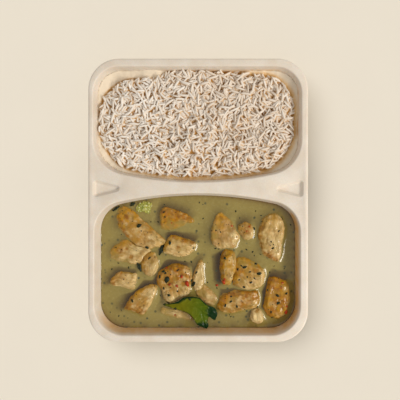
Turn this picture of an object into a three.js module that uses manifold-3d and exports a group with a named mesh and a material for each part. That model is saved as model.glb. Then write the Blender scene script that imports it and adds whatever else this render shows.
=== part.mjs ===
// Thai green curry and rice in a moulded-fibre meal tray with two wells.
// Units are millimetres and +Z is up. The origin is on the table, under the middle of the tray.
// The rice well is on the +Y side of the bridge and the curry well on the -Y side.
import * as THREE from "three";
import { mergeVertices } from "three/addons/utils/BufferGeometryUtils.js";
import Module from "manifold-3d";

const wasm = await Module();
wasm.setup();

// ---------------------------------------------------------------- driving dimensions

const TRAY = {
  length: 229.5,
  width: 178,
  height: 34,
  wall: 1,
  cornerRadius: 25,
};

// The lip of the flange turns down: each pair is how far in from the edge, and how far down.
const LIP_OUTSIDE = [[0, 3], [0.1, 1.2], [0.6, 0.4], [1.6, 0]];
const LIP_INSIDE = [[1, 3.5], [1.05, 2], [1.5, 1.25], [2.2, 1]];

// Both wells share one section: a rounded rim, a sloping wall and a fillet down to the floor.
const WELL_SECTION = {
  rimRadius: 1.2,
  rimSteps: 2,
  wallSlope: 0.16,
  floorRadius: 7,
  floorSteps: 3,
};

// Each well is a rectangle with one arched side, which faces the bridge between the wells.
const RICE_WELL = {
  side: -1,
  x: -0.65,
  halfWidth: 85.4,
  far: 109.4,
  arch: -13.6,
  farRadius: 22.5,
  archCornerRadius: 30,
  archRadius: 297,
};
const CURRY_WELL = {
  side: 1,
  x: -0.65,
  halfWidth: 84.4,
  far: 110.3,
  arch: 6.8,
  farRadius: 25,
  archCornerRadius: 26,
  archRadius: 297,
};

// A shallow three-cornered recess in the flange at each end of the bridge.
const RECESS = {
  outerX: 85,
  innerX: 55.5,
  y: 9.5,
  halfWidth: 7.4,
  cornerRadius: 2.6,
  slope: 2.2,
  depth: 3,
  flare: 0.4,
};

const CLEARANCE = 0.35;
const SAUCE_LEVEL = 19;

// The rice is a low heap. Its gaps are how far it stays off each wall at its level, and a thin skirt
// fills them: the heap itself touches the far wall only over the middle, where it peaks.
const RICE = {
  level: 25,
  edgeDrop: 3,
  edgeReach: 6,
  skirtRise: 0.4,
  leftGap: 1.6,
  rightGap: 4,
  archGap: 3.5,
  farGaps: { left: 7, middle: 0.5, right: 3.5 },
  farSteps: { left: [-36, -24], right: [20, 50] },
  cornerRadius: 28,
  cell: 6.8,
  bump: 0.5,
};
// The low hills of the heap, each a wave of that height along x and y.
const HILLS = [
  { height: 0.4, x: 13, y: 11, start: 0.9 },
  { height: 0.4, x: 13, y: -11, start: 0.3 },
  { height: 0.5, x: 7.3, y: -9.1, start: 0 },
  { height: 0.4, x: Infinity, y: 6, start: 0.57 },
];
const PEAK = { x: -5, y: 100, rise: 2.2, reachX: 26, reachY: 9 };
const GRAIN = {
  length: 8.2,
  width: 1.9,
  shortest: 0.8,
  longest: 1.1,
  spacing: 15,
  lift: 0.5,
  lean: 12,
  seed: 7,
};

// The pieces in the sauce. corners go round a piece anticlockwise at the sauce's level, and each
// is cut off by cut. rise and sink are how far it reaches above and below the sauce. top is the
// share of its outline that its top keeps, crown moves the top sideways as [x, y], and slope
// tilts it by so much height per millimetre along x and y. Later pieces lie over earlier ones.
const PIECES = {
  chicken_left_low: {
    corners: [
      [-37.4, -41.3], [-62.5, -32], [-73.4, -40.5], [-75.3, -48.2], [-67.8, -52], [-51.1, -54.6],
      [-44.7, -50.9],
    ],
    cut: 1.8, rise: 3.2, sink: 8, top: 0.7, crown: [0.6, 0.8], slope: [0.02, -0.02],
  },
  chicken_left_round: {
    corners: [
      [-37.8, -41.9], [-46.2, -45.1], [-49.1, -55.3], [-47.3, -61.7], [-40.6, -66.1], [-34.9, -60.9],
      [-32.1, -52.6],
    ],
    cut: 2.4, rise: 4.6, sink: 8, top: 0.58, crown: [0.4, 0.6], slope: [0, 0],
  },
  chicken_slab: {
    corners: [
      [-23.6, -37.7], [-59.7, -4.7], [-66.1, -4.7], [-70.2, -14], [-68.5, -23.1], [-54.4, -38.9],
      [-41.1, -42.4],
    ],
    cut: 2, rise: 3.8, sink: 7, top: 0.72, crown: [1.6, 1], slope: [0.02, -0.02],
  },
  chicken_orange: {
    corners: [
      [-1.9, -18.7], [-7.4, -13], [-23.9, -6.5], [-30.7, -6.1], [-33, -11.8], [-32.2, -25.4],
      [-22.9, -26.3], [-12.8, -22.2],
    ],
    cut: 1.6, rise: 3, sink: 6, top: 0.6, crown: [0.4, 2], slope: [0.01, 0.12],
  },
  chicken_block: {
    corners: [
      [-0.6, -35.6], [-21.9, -27.9], [-27.5, -33], [-31.3, -43.8], [-17.5, -47.9], [-9.4, -47],
      [-3, -42.4],
    ],
    cut: 1.8, rise: 5, sink: 8, top: 0.74, crown: [-0.5, -1.2], slope: [0.02, 0],
  },
  chicken_wedge: {
    corners: [
      [17.9, -9.7], [13.5, -14.1], [9.1, -30.4], [10.9, -36.8], [16.4, -41.9], [31, -41.4],
      [35.6, -31.3], [26.6, -15.7],
    ],
    cut: 1.8, rise: 3.8, sink: 8, top: 0.74, crown: [-1, 0.5], slope: [0.03, -0.05],
  },
  chicken_nugget: {
    corners: [[37.4, -16.6], [31, -22.6], [37.1, -34.1], [42.9, -34.6], [46.4, -31.1], [45.9, -21.4]],
    cut: 1.8, rise: 4.6, sink: 7, top: 0.55, crown: [0.5, 0], slope: [0, 0],
  },
  chicken_far_right: {
    corners: [
      [60, -9.7], [52.6, -13.7], [47.7, -28.6], [51.7, -45.4], [64.4, -53.6], [67.5, -51.4],
      [71.9, -21.6], [68.3, -13.1],
    ],
    cut: 2.2, rise: 4.6, sink: 9, top: 0.68, crown: [1.4, 0.4], slope: [-0.02, 0.02],
  },
  chicken_sunken: {
    corners: [
      [17.4, -88.6], [17.4, -82.7], [11.4, -75.8], [3.5, -69.7], [-2.2, -71.6], [-3.1, -77.3],
      [2.1, -84.3], [9, -89.5],
    ],
    cut: 1.2, rise: 2.4, sink: 8, top: 0.6, crown: [0, 0], slope: [0, 0],
  },
  chicken_long: {
    corners: [
      [52.3, -80.9], [49.9, -74.7], [27.4, -74.9], [17.3, -78.6], [13.3, -88], [16.7, -93.2],
      [24.9, -94.6], [50.5, -88.9],
    ],
    cut: 1.6, rise: 4.4, sink: 7, top: 0.66, crown: [0.6, -1.8], slope: [0.03, -0.04],
  },
  chicken_strip: {
    corners: [
      [0.7, -48.8], [-5.9, -61.6], [-6.6, -69.8], [-2.9, -76.4], [2.4, -75.4], [4.7, -67.1],
      [4.3, -51.1],
    ],
    cut: 1.4, rise: 3.8, sink: 7, top: 0.55, crown: [0.6, 0], slope: [0, 0.03],
  },
  chicken_browned: {
    corners: [
      [-9, -54.6], [-19, -52.3], [-33.7, -58.6], [-36.5, -69.1], [-30.8, -77.5], [-29, -85],
      [-23.2, -87.9], [-7, -79.3], [-5.3, -60.6],
    ],
    cut: 2.2, rise: 5.6, sink: 8, top: 0.76, crown: [0.6, 1.2], slope: [0, 0.03],
  },
  chicken_under_leaf: {
    corners: [[-1.7, -102.3], [-6.6, -95.9], [-15.4, -91.9], [-31.5, -89.7], [-33.3, -93.3], [-28, -97.2]],
    cut: 1.2, rise: 1.6, sink: 7, top: 0.6, crown: [0, 0.5], slope: [0, 0],
  },
  chicken_low_left: {
    corners: [
      [-33.5, -71], [-38.8, -69.4], [-49.5, -74.8], [-59.6, -83.2], [-63.4, -91.7], [-47.9, -96.9],
      [-44.3, -95], [-36.3, -81.3],
    ],
    cut: 1.6, rise: 4.6, sink: 8, top: 0.7, crown: [0.9, 1.7], slope: [0.02, 0.02],
  },
  chicken_small_left: {
    corners: [[-49.9, -61.6], [-66.9, -59.7], [-75.2, -68.4], [-74, -71.8], [-53.2, -76.7]],
    cut: 1.6, rise: 4.2, sink: 7, top: 0.7, crown: [0.2, 1.9], slope: [0.02, -0.05],
  },
  chicken_tall_lobe: {
    corners: [
      [25.1, -40.3], [19.3, -41.3], [16.7, -55.2], [18.4, -70.3], [22.5, -72.8], [27.4, -70.4],
      [31.8, -55.3], [30, -41.8],
    ],
    cut: 2, rise: 7.4, sink: 8, top: 0.62, crown: [0.9, 0.5], slope: [0.02, 0.03],
  },
  chicken_round_lobe: {
    corners: [
      [30, -47.4], [26.5, -69], [30.1, -73.3], [42.6, -75.5], [54.4, -71.9], [55.8, -60.1],
      [52.6, -54.5], [42.8, -48.3],
    ],
    cut: 2.2, rise: 6.2, sink: 8, top: 0.72, crown: [0.6, -1.2], slope: [0.02, -0.07],
  },
  chicken_low_right: {
    corners: [
      [60.3, -62], [56.8, -66.7], [52.7, -90.6], [57.1, -99], [66, -99.8], [72.5, -97.4],
      [76.5, -84.1], [74.8, -68.5],
    ],
    cut: 2, rise: 5.6, sink: 8, top: 0.72, crown: [0.6, 0.8], slope: [-0.02, 0.02],
  },
  chicken_crumb: {
    corners: [[43.1, -90.4], [41.2, -101], [50.2, -104.6], [54.8, -101.7], [52.8, -92], [48.6, -88.8]],
    cut: 1.6, rise: 4.8, sink: 7, top: 0.52, crown: [0.4, 0.2], slope: [0, 0],
  },
  green_vegetable: {
    corners: [[-38.1, -4.5], [-39.8, -2], [-45.7, -1.2], [-51.4, -3.2], [-53.6, -9.6], [-41.7, -12]],
    cut: 1.2, rise: 2.4, sink: 5, top: 0.62, crown: [0, 0], slope: [0, 0],
  },
};
// Every piece: the share of its outline that its foot keeps, how far over the sauce it is widest,
// and where its side bends below its top, as a share of the way in and of its rise. brink and
// roughness are in millimetres.
const CHUNK = {
  foot: 0.76,
  brink: 0.4,
  bendIn: 0.35,
  bendUp: 0.6,
  brim: 0.94,
  wobble: 0.05,
  roughness: 0.6,
  seed: 11,
};

// The larger herb and chilli flakes on the meat, each as [x, y, size].
const FLAKE = { thickness: 0.7, sides: 5, narrow: 0.6, taper: 0.84, bury: 0.15, seed: 31 };
const FLAKES = {
  chicken_slab: [[-49.5, -21.3, 4]],
  chicken_left_round: [[-40.8, -48.3, 2.4]],
  chicken_block: [[-23.8, -35.4, 3], [-4.4, -40.2, 1.8]],
  chicken_wedge: [[27.3, -21.8, 2]],
  chicken_browned: [[-28.8, -59.1, 2.8], [-25.9, -65.7, 4], [-23.8, -69.8, 2.8], [-13.9, -63.2, 2.4], [-9.3, -69, 4]],
  chicken_strip: [[-1.9, -60.3, 2]],
  chicken_low_left: [[-54.9, -83.5, 3]],
  chicken_tall_lobe: [[20.9, -68.2, 3.4], [21.7, -47.9, 2.4]],
  chicken_round_lobe: [[35.4, -54.5, 2.2], [38.3, -55.7, 3.4], [50.3, -60.7, 3.6], [43.3, -67.8, 2.4]],
  chicken_long: [[27.1, -80.2, 2], [22.1, -87.2, 2.8]],
  chicken_low_right: [[65.2, -78.9, 2.8], [65.7, -85.2, 3], [69.4, -68.6, 2.4], [72.3, -93, 3.4]],
};

// The large leaf droops from its peak. Its edge runs from the stalk round the notched tips and
// back as [x, y], seen from middle.
const LEAF = {
  middle: [1, -87.3],
  peak: [-6, -87, 26.8],
  droop: 0.0054,
  ripple: 0.35,
  rippleSpan: [3.1, 4.3],
  shares: [0.35, 0.7, 1],
  edge: [
    [-30.4, -86.5], [-25.3, -88.2], [-18.9, -90.2], [-11.6, -91.8], [-7, -94.6], [-3.3, -98.9], [-1.8, -102.4],
    [3.9, -105.6], [6.9, -107], [8.4, -104.2], [7.6, -100.6], [8.7, -96.4], [11.2, -98.4], [13.8, -99.6],
    [15.3, -96.4], [15.4, -92.7], [13.2, -89], [7.4, -86.4], [4.2, -83.3], [0.7, -80.6], [-3, -79.6],
    [-9.2, -79.7], [-13.5, -80.6], [-16.9, -83.2], [-21.9, -85.2],
  ],
};

// Scraps of leaf: path runs along the midrib as [x, y, z], left and right are the half widths
// at its points, wave is the height of the ripples and curl the drop of the edges.
const LEAF_THICKNESS = 0.5;
const SCRAPS = {
  leaf_scrap_rim: {
    path: [[-71.6, -9.6, 20], [-69, -7.4, 20.6], [-66, -5.6, 20.4]],
    left: [0.5, 1, 0.4],
    right: [0.5, 1, 0.4],
    stations: 4, columns: 2, wave: 0.2, curl: 0.2,
  },
  leaf_scrap_corner: {
    path: [[-57.2, -5.2, 20.2], [-55.2, -3.9, 20.6], [-53, -2.7, 20.2]],
    left: [0.5, 1.7, 0.4],
    right: [0.5, 1.5, 0.4],
    stations: 4, columns: 2, wave: 0.2, curl: 0.4,
  },
  leaf_scrap_strip: {
    path: [[-30, -37.2, 20.2], [-31.2, -41.5, 20.9], [-33, -46.5, 20.1]],
    left: [1.2, 2, 0.5],
    right: [1.2, 1.4, 0.5],
    stations: 5, columns: 2, wave: 0.3, curl: 0.4,
  },
  leaf_scrap_left: {
    path: [[-51, -52.6, 21.6], [-49.6, -55.6, 21.8], [-48, -60, 21]],
    left: [0.6, 1.9, 0.5],
    right: [0.6, 1.6, 0.5],
    stations: 4, columns: 2, wave: 0.2, curl: 0.3,
  },
};
const RIPPLE = { along: 17, across: 2 };

// ---------------------------------------------------------------- numbers and random draws

const radians = (degrees) => (degrees * Math.PI) / 180;
const lerp = (a, b, t) => a + (b - a) * t;

function randomFrom(seed) {
  let state = seed >>> 0;
  return () => {
    state = (state + 0x6d2b79f5) >>> 0;
    let t = state;
    t = Math.imul(t ^ (t >>> 15), t | 1);
    t ^= t + Math.imul(t ^ (t >>> 7), t | 61);
    return ((t ^ (t >>> 14)) >>> 0) / 4294967296;
  };
}

// The value of a list of numbers at a share t of its length, eased between its entries.
function valueAt(list, t) {
  const place = t * (list.length - 1);
  const start = Math.min(Math.floor(place), list.length - 2);
  return lerp(list[start], list[start + 1], THREE.MathUtils.smoothstep(place - start, 0, 1));
}

// ---------------------------------------------------------------- closed meshes

function geometryFrom(points, faces) {
  const geometry = new THREE.BufferGeometry();
  geometry.setAttribute("position", new THREE.Float32BufferAttribute(points.flat(), 3));
  geometry.setIndex(faces.flat());
  return geometry;
}

// A closed body through rings of equally many points, each anticlockwise from above, lowest
// first. Each end is closed by a fan round the middle of its ring, or round a given apex.
function loft(rings, bottom = middle(rings[0]), top = middle(rings.at(-1))) {
  const count = rings[0].length;
  const points = [...rings.flat(), bottom, top];
  const bottomIndex = points.length - 2;
  const topIndex = points.length - 1;
  const lastRing = (rings.length - 1) * count;
  const faces = [];
  for (let i = 0; i < count; i++) {
    const next = (i + 1) % count;
    faces.push([bottomIndex, next, i]);
    for (let ring = 0; ring < rings.length - 1; ring++) {
      const low = ring * count;
      const high = low + count;
      faces.push([low + i, low + next, high + next]);
      faces.push([low + i, high + next, high + i]);
    }
    faces.push([topIndex, lastRing + i, lastRing + next]);
  }
  return geometryFrom(points, faces);
}

function middle(ring) {
  const sum = ring.reduce((total, point) => total.map((value, axis) => value + point[axis]), [0, 0, 0]);
  return sum.map((value) => value / ring.length);
}

// A closed body between two grids of points, upper over lower. Each row has one point more than
// columns; the rows follow each other to the left of the direction in which the columns do.
function slab(upper, lower, columns) {
  const across = columns + 1;
  const rows = upper.length / across - 1;
  const under = upper.length;
  const faces = [];
  for (let row = 0; row < rows; row++) {
    for (let column = 0; column < columns; column++) {
      const a = row * across + column;
      const b = a + 1;
      const c = a + across;
      const d = c + 1;
      faces.push([a, b, d], [a, d, c]);
      faces.push([under + a, under + d, under + b], [under + a, under + c, under + d]);
    }
  }
  const edge = [];
  for (let column = 0; column < columns; column++) edge.push(column);
  for (let row = 0; row < rows; row++) edge.push(row * across + columns);
  for (let column = columns; column > 0; column--) edge.push(rows * across + column);
  for (let row = rows; row > 0; row--) edge.push(row * across);
  edge.forEach((point, i) => {
    const next = edge[(i + 1) % edge.length];
    faces.push([point, under + point, under + next], [point, under + next, next]);
  });
  return geometryFrom([...upper, ...lower], faces);
}

function toSolid(geometry) {
  const bare = new THREE.BufferGeometry();
  bare.setAttribute("position", geometry.getAttribute("position"));
  bare.setIndex(geometry.getIndex());
  const merged = mergeVertices(bare, 1e-4);
  return new wasm.Manifold(
    new wasm.Mesh({
      numProp: 3,
      vertProperties: new Float32Array(merged.getAttribute("position").array),
      triVerts: new Uint32Array(merged.getIndex().array),
    }),
  );
}

function toGeometry(solid) {
  const { numProp, numVert, vertProperties, triVerts } = solid.getMesh();
  const positions = new Float32Array(numVert * 3);
  for (let i = 0; i < numVert; i++) {
    positions.set(vertProperties.subarray(i * numProp, i * numProp + 3), i * 3);
  }
  const geometry = new THREE.BufferGeometry();
  geometry.setAttribute("position", new THREE.BufferAttribute(positions, 3));
  geometry.setIndex(new THREE.BufferAttribute(new Uint32Array(triVerts), 1));
  return geometry;
}

// Cutting can leave scraps: only the largest body is kept.
function largestBody(solid) {
  return solid.decompose().reduce((best, body) => (body.volume() > best.volume() ? body : best));
}

// ---------------------------------------------------------------- outlines

function arc([x, y], radius, from, to, steps) {
  return Array.from({ length: steps + 1 }, (_, i) => {
    const angle = lerp(from, to, i / steps);
    return [x + radius * Math.cos(angle), y + radius * Math.sin(angle)];
  });
}

// The outline of the tray, drawn in from its edge by inset.
function trayOutline(inset) {
  const x = TRAY.width / 2 - TRAY.cornerRadius;
  const y = TRAY.length / 2 - TRAY.cornerRadius;
  const radius = TRAY.cornerRadius - inset;
  const centres = [[x, y], [-x, y], [-x, -y], [x, -y]];
  return centres.flatMap((centre, i) => arc(centre, radius, (i * Math.PI) / 2, ((i + 1) * Math.PI) / 2, 6));
}

// The outline of a well at its rim, drawn in by inset. All arcs keep their centres.
function wellOutline(well, inset) {
  const farX = well.halfWidth - well.farRadius;
  const farY = well.farRadius - well.far;
  const archX = well.halfWidth - well.archCornerRadius;
  const archCentre = well.arch - well.archRadius;
  const archY = archCentre + Math.sqrt((well.archRadius - well.archCornerRadius) ** 2 - archX ** 2);
  const meet = Math.atan2(archY - archCentre, archX);
  const far = well.farRadius - inset;
  const corner = well.archCornerRadius - inset;
  const outline = [
    ...arc([-farX, farY], far, Math.PI, 1.5 * Math.PI, 6),
    ...arc([farX, farY], far, 1.5 * Math.PI, 2 * Math.PI, 6),
    ...arc([archX, archY], corner, 0, meet, 6),
    ...arc([0, archCentre], well.archRadius - inset, meet, Math.PI - meet, 8).slice(1, -1),
    ...arc([-archX, archY], corner, Math.PI - meet, Math.PI, 6),
  ];
  const placed = outline.map(([u, v]) => [well.x + u, well.side * v]);
  return well.side > 0 ? placed : placed.reverse();
}

// A polygon with rounded corners, drawn in by inset. Its corners are anticlockwise.
function roundedPolygon(corners, radius, inset) {
  return corners.flatMap((corner, i) => {
    const here = new THREE.Vector2(...corner);
    const before = new THREE.Vector2(...corners.at(i - 1)).sub(here).normalize();
    const after = new THREE.Vector2(...corners[(i + 1) % corners.length]).sub(here).normalize();
    const halfAngle = Math.acos(before.dot(after)) / 2;
    const centre = before.clone().add(after).normalize().multiplyScalar(radius / Math.sin(halfAngle)).add(here);
    const start = Math.atan2(-before.x, before.y);
    const sweep = Math.PI - 2 * halfAngle;
    return arc([centre.x, centre.y], radius - inset, start + Math.PI, start + Math.PI + sweep, 4);
  });
}

const atHeight = (outline, z) => outline.map(([x, y]) => [x, y, z]);

// ---------------------------------------------------------------- tray

const wallAngle = Math.atan(WELL_SECTION.wallSlope);
const rimFoot = {
  inset: WELL_SECTION.rimRadius * Math.cos(wallAngle),
  z: TRAY.height - WELL_SECTION.rimRadius * (1 - Math.sin(wallAngle)),
};

// How far the wall of a well lies in from its rim at height z; offset moves it into the well.
function wallInset(z, offset) {
  return rimFoot.inset + WELL_SECTION.wallSlope * (rimFoot.z - z) + offset / Math.cos(wallAngle);
}

// Rings from the floor of a well up its wall to height top.
function wellRings(well, offset, top) {
  const steps = WELL_SECTION.floorSteps;
  const radius = WELL_SECTION.floorRadius - offset;
  const centreZ = TRAY.wall + WELL_SECTION.floorRadius;
  const centreInset = wallInset(centreZ, 0) + WELL_SECTION.floorRadius / Math.cos(wallAngle);
  const rings = [];
  for (let i = 0; i <= steps; i++) {
    const angle = lerp(Math.PI / 2, wallAngle, i / steps);
    const inset = centreInset - radius * Math.cos(angle);
    rings.push(atHeight(wellOutline(well, inset), centreZ - radius * Math.sin(angle)));
  }
  rings.push(atHeight(wellOutline(well, wallInset(top, offset)), top));
  return rings;
}

// The hollow of a well: its rings carried on over the rounded rim and out of the tray.
function wellHollow(well) {
  const steps = WELL_SECTION.rimSteps;
  const rings = wellRings(well, 0, rimFoot.z);
  for (let i = 1; i <= steps; i++) {
    const angle = lerp(Math.PI / 2 - wallAngle, 0, i / steps);
    const inset = WELL_SECTION.rimRadius * Math.sin(angle);
    const z = TRAY.height - WELL_SECTION.rimRadius * (1 - Math.cos(angle));
    rings.push(atHeight(wellOutline(well, inset), z));
  }
  rings.push(atHeight(wellOutline(well, 0), TRAY.height + 1));
  return toSolid(loft(rings));
}

function lip(section) {
  return toSolid(loft(section.map(([inset, drop]) => atHeight(trayOutline(inset), TRAY.height - drop))));
}

// The recess at one end of the bridge, or with wall above 0 the body that it is sunk into.
function recess(end, wall) {
  const corners = [
    [end * RECESS.innerX, RECESS.y],
    [end * RECESS.outerX, RECESS.y - RECESS.halfWidth],
    [end * RECESS.outerX, RECESS.y + RECESS.halfWidth],
  ];
  const outline = end > 0 ? corners : corners.reverse();
  const floor = TRAY.height - RECESS.depth - wall;
  const top = wall > 0 ? TRAY.height - wall / 2 : TRAY.height + 1;
  const rimInset = wall > 0 ? 0 : -RECESS.flare;
  return toSolid(
    loft([
      atHeight(roundedPolygon(outline, RECESS.cornerRadius, RECESS.slope - wall), floor),
      atHeight(roundedPolygon(outline, RECESS.cornerRadius, -wall), TRAY.height - RECESS.flare - wall / 2),
      atHeight(roundedPolygon(outline, RECESS.cornerRadius, rimInset - wall), top),
    ]),
  );
}

function tray() {
  const wells = [RICE_WELL, CURRY_WELL];
  let body = lip(LIP_OUTSIDE).subtract(lip(LIP_INSIDE));
  for (const well of wells) {
    body = body.add(toSolid(loft(wellRings(well, -TRAY.wall, TRAY.height - TRAY.wall / 2))));
  }
  for (const end of [-1, 1]) {
    body = body.add(recess(end, TRAY.wall));
  }
  for (const well of wells) {
    body = body.subtract(wellHollow(well));
  }
  for (const end of [-1, 1]) {
    body = body.subtract(recess(end, 0));
  }
  return body;
}

// ---------------------------------------------------------------- meat and vegetable

// A polygon with each corner cut off, at most a third of the way along its sides.
function cutCorners(corners, cut) {
  return corners.flatMap((corner, i) => {
    const neighbours = [corners.at(i - 1), corners[(i + 1) % corners.length]];
    return neighbours.map(([x, y]) => {
      const share = Math.min(cut / Math.hypot(x - corner[0], y - corner[1]), 1 / 3);
      return [lerp(corner[0], x, share), lerp(corner[1], y, share)];
    });
  });
}

// A chunk of meat, grown all round by grow where it has to cut a pocket for itself.
function chunk(name, grow) {
  const { corners, cut, rise, sink, top, crown, slope } = PIECES[name];
  const random = randomFrom(Object.keys(PIECES).indexOf(name) + CHUNK.seed);
  const outline = cutCorners(corners, cut);
  const [middleX, middleY] = middle(atHeight(corners, 0));
  const low = SAUCE_LEVEL - sink - grow;
  const widest = SAUCE_LEVEL + CHUNK.brink;
  const high = SAUCE_LEVEL + rise + grow;
  // Each level: the share of the outline that it keeps, and how far up it is from level to top.
  const levels = [[1, 0], [lerp(1, top, CHUNK.bendIn), CHUNK.bendUp], [top, CHUNK.brim]];
  const ring = (share, up, z, roughness) =>
    outline.map(([x, y]) => {
      const wider = 1 + grow / Math.hypot(x - middleX, y - middleY);
      const reach = share * wider * (1 + CHUNK.wobble * up * (random() - 0.5));
      const alongX = (x - middleX) * reach;
      const alongY = (y - middleY) * reach;
      const lift = up * (alongX * slope[0] + alongY * slope[1]) + roughness * (random() - 0.5);
      return [middleX + alongX + up * crown[0], middleY + alongY + up * crown[1], z + lift];
    });
  const rings = levels.map(([share, up]) => ring(share, up, lerp(widest, high, up), up * CHUNK.roughness));
  return toSolid(loft([ring(CHUNK.foot, 0, low, 0), ...rings], undefined, [middleX + crown[0], middleY + crown[1], high]));
}

// The height of a geometry's top face at [x, y].
function topOf(geometry, [x, y]) {
  const ray = new THREE.Raycaster(new THREE.Vector3(x, y, TRAY.height + 20), new THREE.Vector3(0, 0, -1));
  const hit = ray.intersectObject(new THREE.Mesh(geometry))[0];
  return hit ? hit.point.z : null;
}

// A flake lies half sunk in the top of its piece, turned at random.
function addFlakes(solid, name) {
  const random = randomFrom(name.length * FLAKE.seed);
  const geometry = toGeometry(solid);
  let result = solid;
  for (const [x, y, size] of FLAKES[name] ?? []) {
    const height = topOf(geometry, [x, y]);
    const flake = new THREE.CylinderGeometry((size / 2) * FLAKE.taper, size / 2, FLAKE.thickness, FLAKE.sides);
    flake.rotateX(Math.PI / 2);
    flake.scale(1, FLAKE.narrow, 1);
    flake.rotateZ(random() * Math.PI);
    flake.translate(x, y, height + FLAKE.thickness * FLAKE.bury);
    flake.deleteAttribute("normal");
    flake.deleteAttribute("uv");
    result = result.add(toSolid(flake));
  }
  return result;
}

// ---------------------------------------------------------------- leaves

// The large leaf: rings that widen to its edge below and narrow again above.
function leafSolid(grow) {
  const [middleX, middleY] = LEAF.middle;
  const [peakX, peakY, peakZ] = LEAF.peak;
  const half = LEAF_THICKNESS / 2 + grow;
  const place = (x, y, share, side) => {
    const ripple = LEAF.ripple * share * Math.sin(x / LEAF.rippleSpan[0] + y / LEAF.rippleSpan[1]);
    const fall = LEAF.droop * ((x - peakX) ** 2 + (y - peakY) ** 2);
    return [x, y, peakZ - fall + ripple + side * half];
  };
  const ring = (share, side) =>
    LEAF.edge.map(([x, y]) => {
      const reach = share * (1 + grow / Math.hypot(x - middleX, y - middleY));
      return place(middleX + (x - middleX) * reach, middleY + (y - middleY) * reach, share, side);
    });
  const lower = LEAF.shares.map((share) => ring(share, -1));
  const upper = LEAF.shares.map((share) => ring(share, 1)).reverse();
  const centre = (side) => place(middleX, middleY, 0, side);
  return toSolid(loft([...lower, ...upper], centre(-1), centre(1)));
}

// A thin wavy scrap, both faces split into triangles alike.
function scrapSolid(blade, grow) {
  const midrib = new THREE.CatmullRomCurve3(blade.path.map((point) => new THREE.Vector3(...point)));
  const half = LEAF_THICKNESS / 2 + grow;
  const upper = [];
  const lower = [];
  for (let i = 0; i <= blade.stations; i++) {
    const t = i / blade.stations;
    const centre = midrib.getPoint(t);
    const forward = midrib.getTangent(t);
    const side = new THREE.Vector3(forward.y, -forward.x, 0).normalize();
    for (let j = 0; j <= blade.columns; j++) {
      const share = (2 * j) / blade.columns - 1;
      const reach = valueAt(share < 0 ? blade.left : blade.right, t) + grow;
      const fold = share ** 2 * blade.curl * (share < 0 ? 1 : 0.5);
      const ripple = blade.wave * Math.sin(t * RIPPLE.along - share * RIPPLE.across) * Math.abs(share);
      const x = centre.x + side.x * share * reach;
      const y = centre.y + side.y * share * reach;
      const z = centre.z - fold + ripple;
      upper.push([x, y, z + half]);
      lower.push([x, y, z - half]);
    }
  }
  return toSolid(slab(upper, lower, blade.columns));
}

function leaves(grow) {
  const scraps = Object.entries(SCRAPS).map(([name, scrap]) => [name, scrapSolid(scrap, grow)]);
  return [["leaf", leafSolid(grow)], ...scraps];
}

// ---------------------------------------------------------------- rice

const riceTop = RICE_WELL.far - wallInset(RICE.level, 0);
const riceHalf = RICE_WELL.halfWidth - wallInset(RICE.level, 0);
const riceArch = -RICE_WELL.arch + wallInset(RICE.level, 0) + RICE.archGap;

// The gap between the heap and the far wall at x.
function farGap(x) {
  const gaps = RICE.farGaps;
  const { smoothstep } = THREE.MathUtils;
  const toMiddle = smoothstep(x, ...RICE.farSteps.left);
  const toRight = smoothstep(x, ...RICE.farSteps.right);
  return gaps.left + (gaps.middle - gaps.left) * toMiddle + (gaps.right - gaps.middle) * toRight;
}

// How far [x, y] lies inside the round-cornered outline of the heap; outside it is negative.
function insideHeap(x, y) {
  const fromLeft = x - RICE_WELL.x + riceHalf - RICE.leftGap;
  const fromRight = RICE_WELL.x + riceHalf - RICE.rightGap - x;
  const archFall = (x - RICE_WELL.x) ** 2 / (2 * RICE_WELL.archRadius);
  const fromSide = Math.min(fromLeft, fromRight);
  const fromEnd = Math.min(riceTop - farGap(x) - y, y - riceArch - archFall);
  const radius = RICE.cornerRadius;
  if (fromSide >= radius || fromEnd >= radius) return Math.min(fromSide, fromEnd);
  return radius - Math.hypot(radius - fromSide, radius - fromEnd);
}

// The surface of the heap: low hills that fall away at its edge, then a skirt that climbs the wall.
function riceHeight(x, y) {
  const inside = insideHeap(x, y);
  const hills = HILLS.reduce((sum, hill) => sum + hill.height * Math.sin(x / hill.x + y / hill.y + hill.start), 0);
  const peak = PEAK.rise * Math.exp(-(((x - PEAK.x) / PEAK.reachX) ** 2) - ((y - PEAK.y) / PEAK.reachY) ** 2);
  const drop = RICE.edgeDrop * Math.exp(-Math.max(inside, 0) / RICE.edgeReach);
  return RICE.level + hills + peak - drop - RICE.skirtRise * Math.min(inside, 0);
}

// A block whose top follows riceHeight with bumps the size of grains.
function riceCore(random) {
  const columns = Math.ceil((2 * RICE_WELL.halfWidth) / RICE.cell);
  const rows = Math.ceil((RICE_WELL.far + RICE_WELL.arch) / RICE.cell);
  const top = [];
  for (let row = 0; row <= rows; row++) {
    for (let column = 0; column <= columns; column++) {
      const x = RICE_WELL.x - RICE_WELL.halfWidth + (column + 0.5 * (random() - 0.5)) * RICE.cell;
      const y = -RICE_WELL.arch + (row + 0.5 * (random() - 0.5)) * RICE.cell;
      top.push([x, y, riceHeight(x, y) + RICE.bump * 2 * (random() - 0.5)]);
    }
  }
  const bottom = top.map(([x, y]) => [x, y, 0]);
  return toSolid(slab(top, bottom, columns));
}

// One grain, lying nearly flat, its middle at height z.
function grain(x, y, z, random) {
  const geometry = new THREE.SphereGeometry(0.5, 5, 4);
  geometry.scale(GRAIN.width, GRAIN.length * lerp(GRAIN.shortest, GRAIN.longest, random()), GRAIN.width);
  geometry.rotateX(radians(lerp(-GRAIN.lean, GRAIN.lean, random())));
  geometry.rotateZ(random() * Math.PI);
  geometry.translate(x, y, z);
  geometry.deleteAttribute("normal");
  geometry.deleteAttribute("uv");
  return toSolid(geometry);
}

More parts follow.
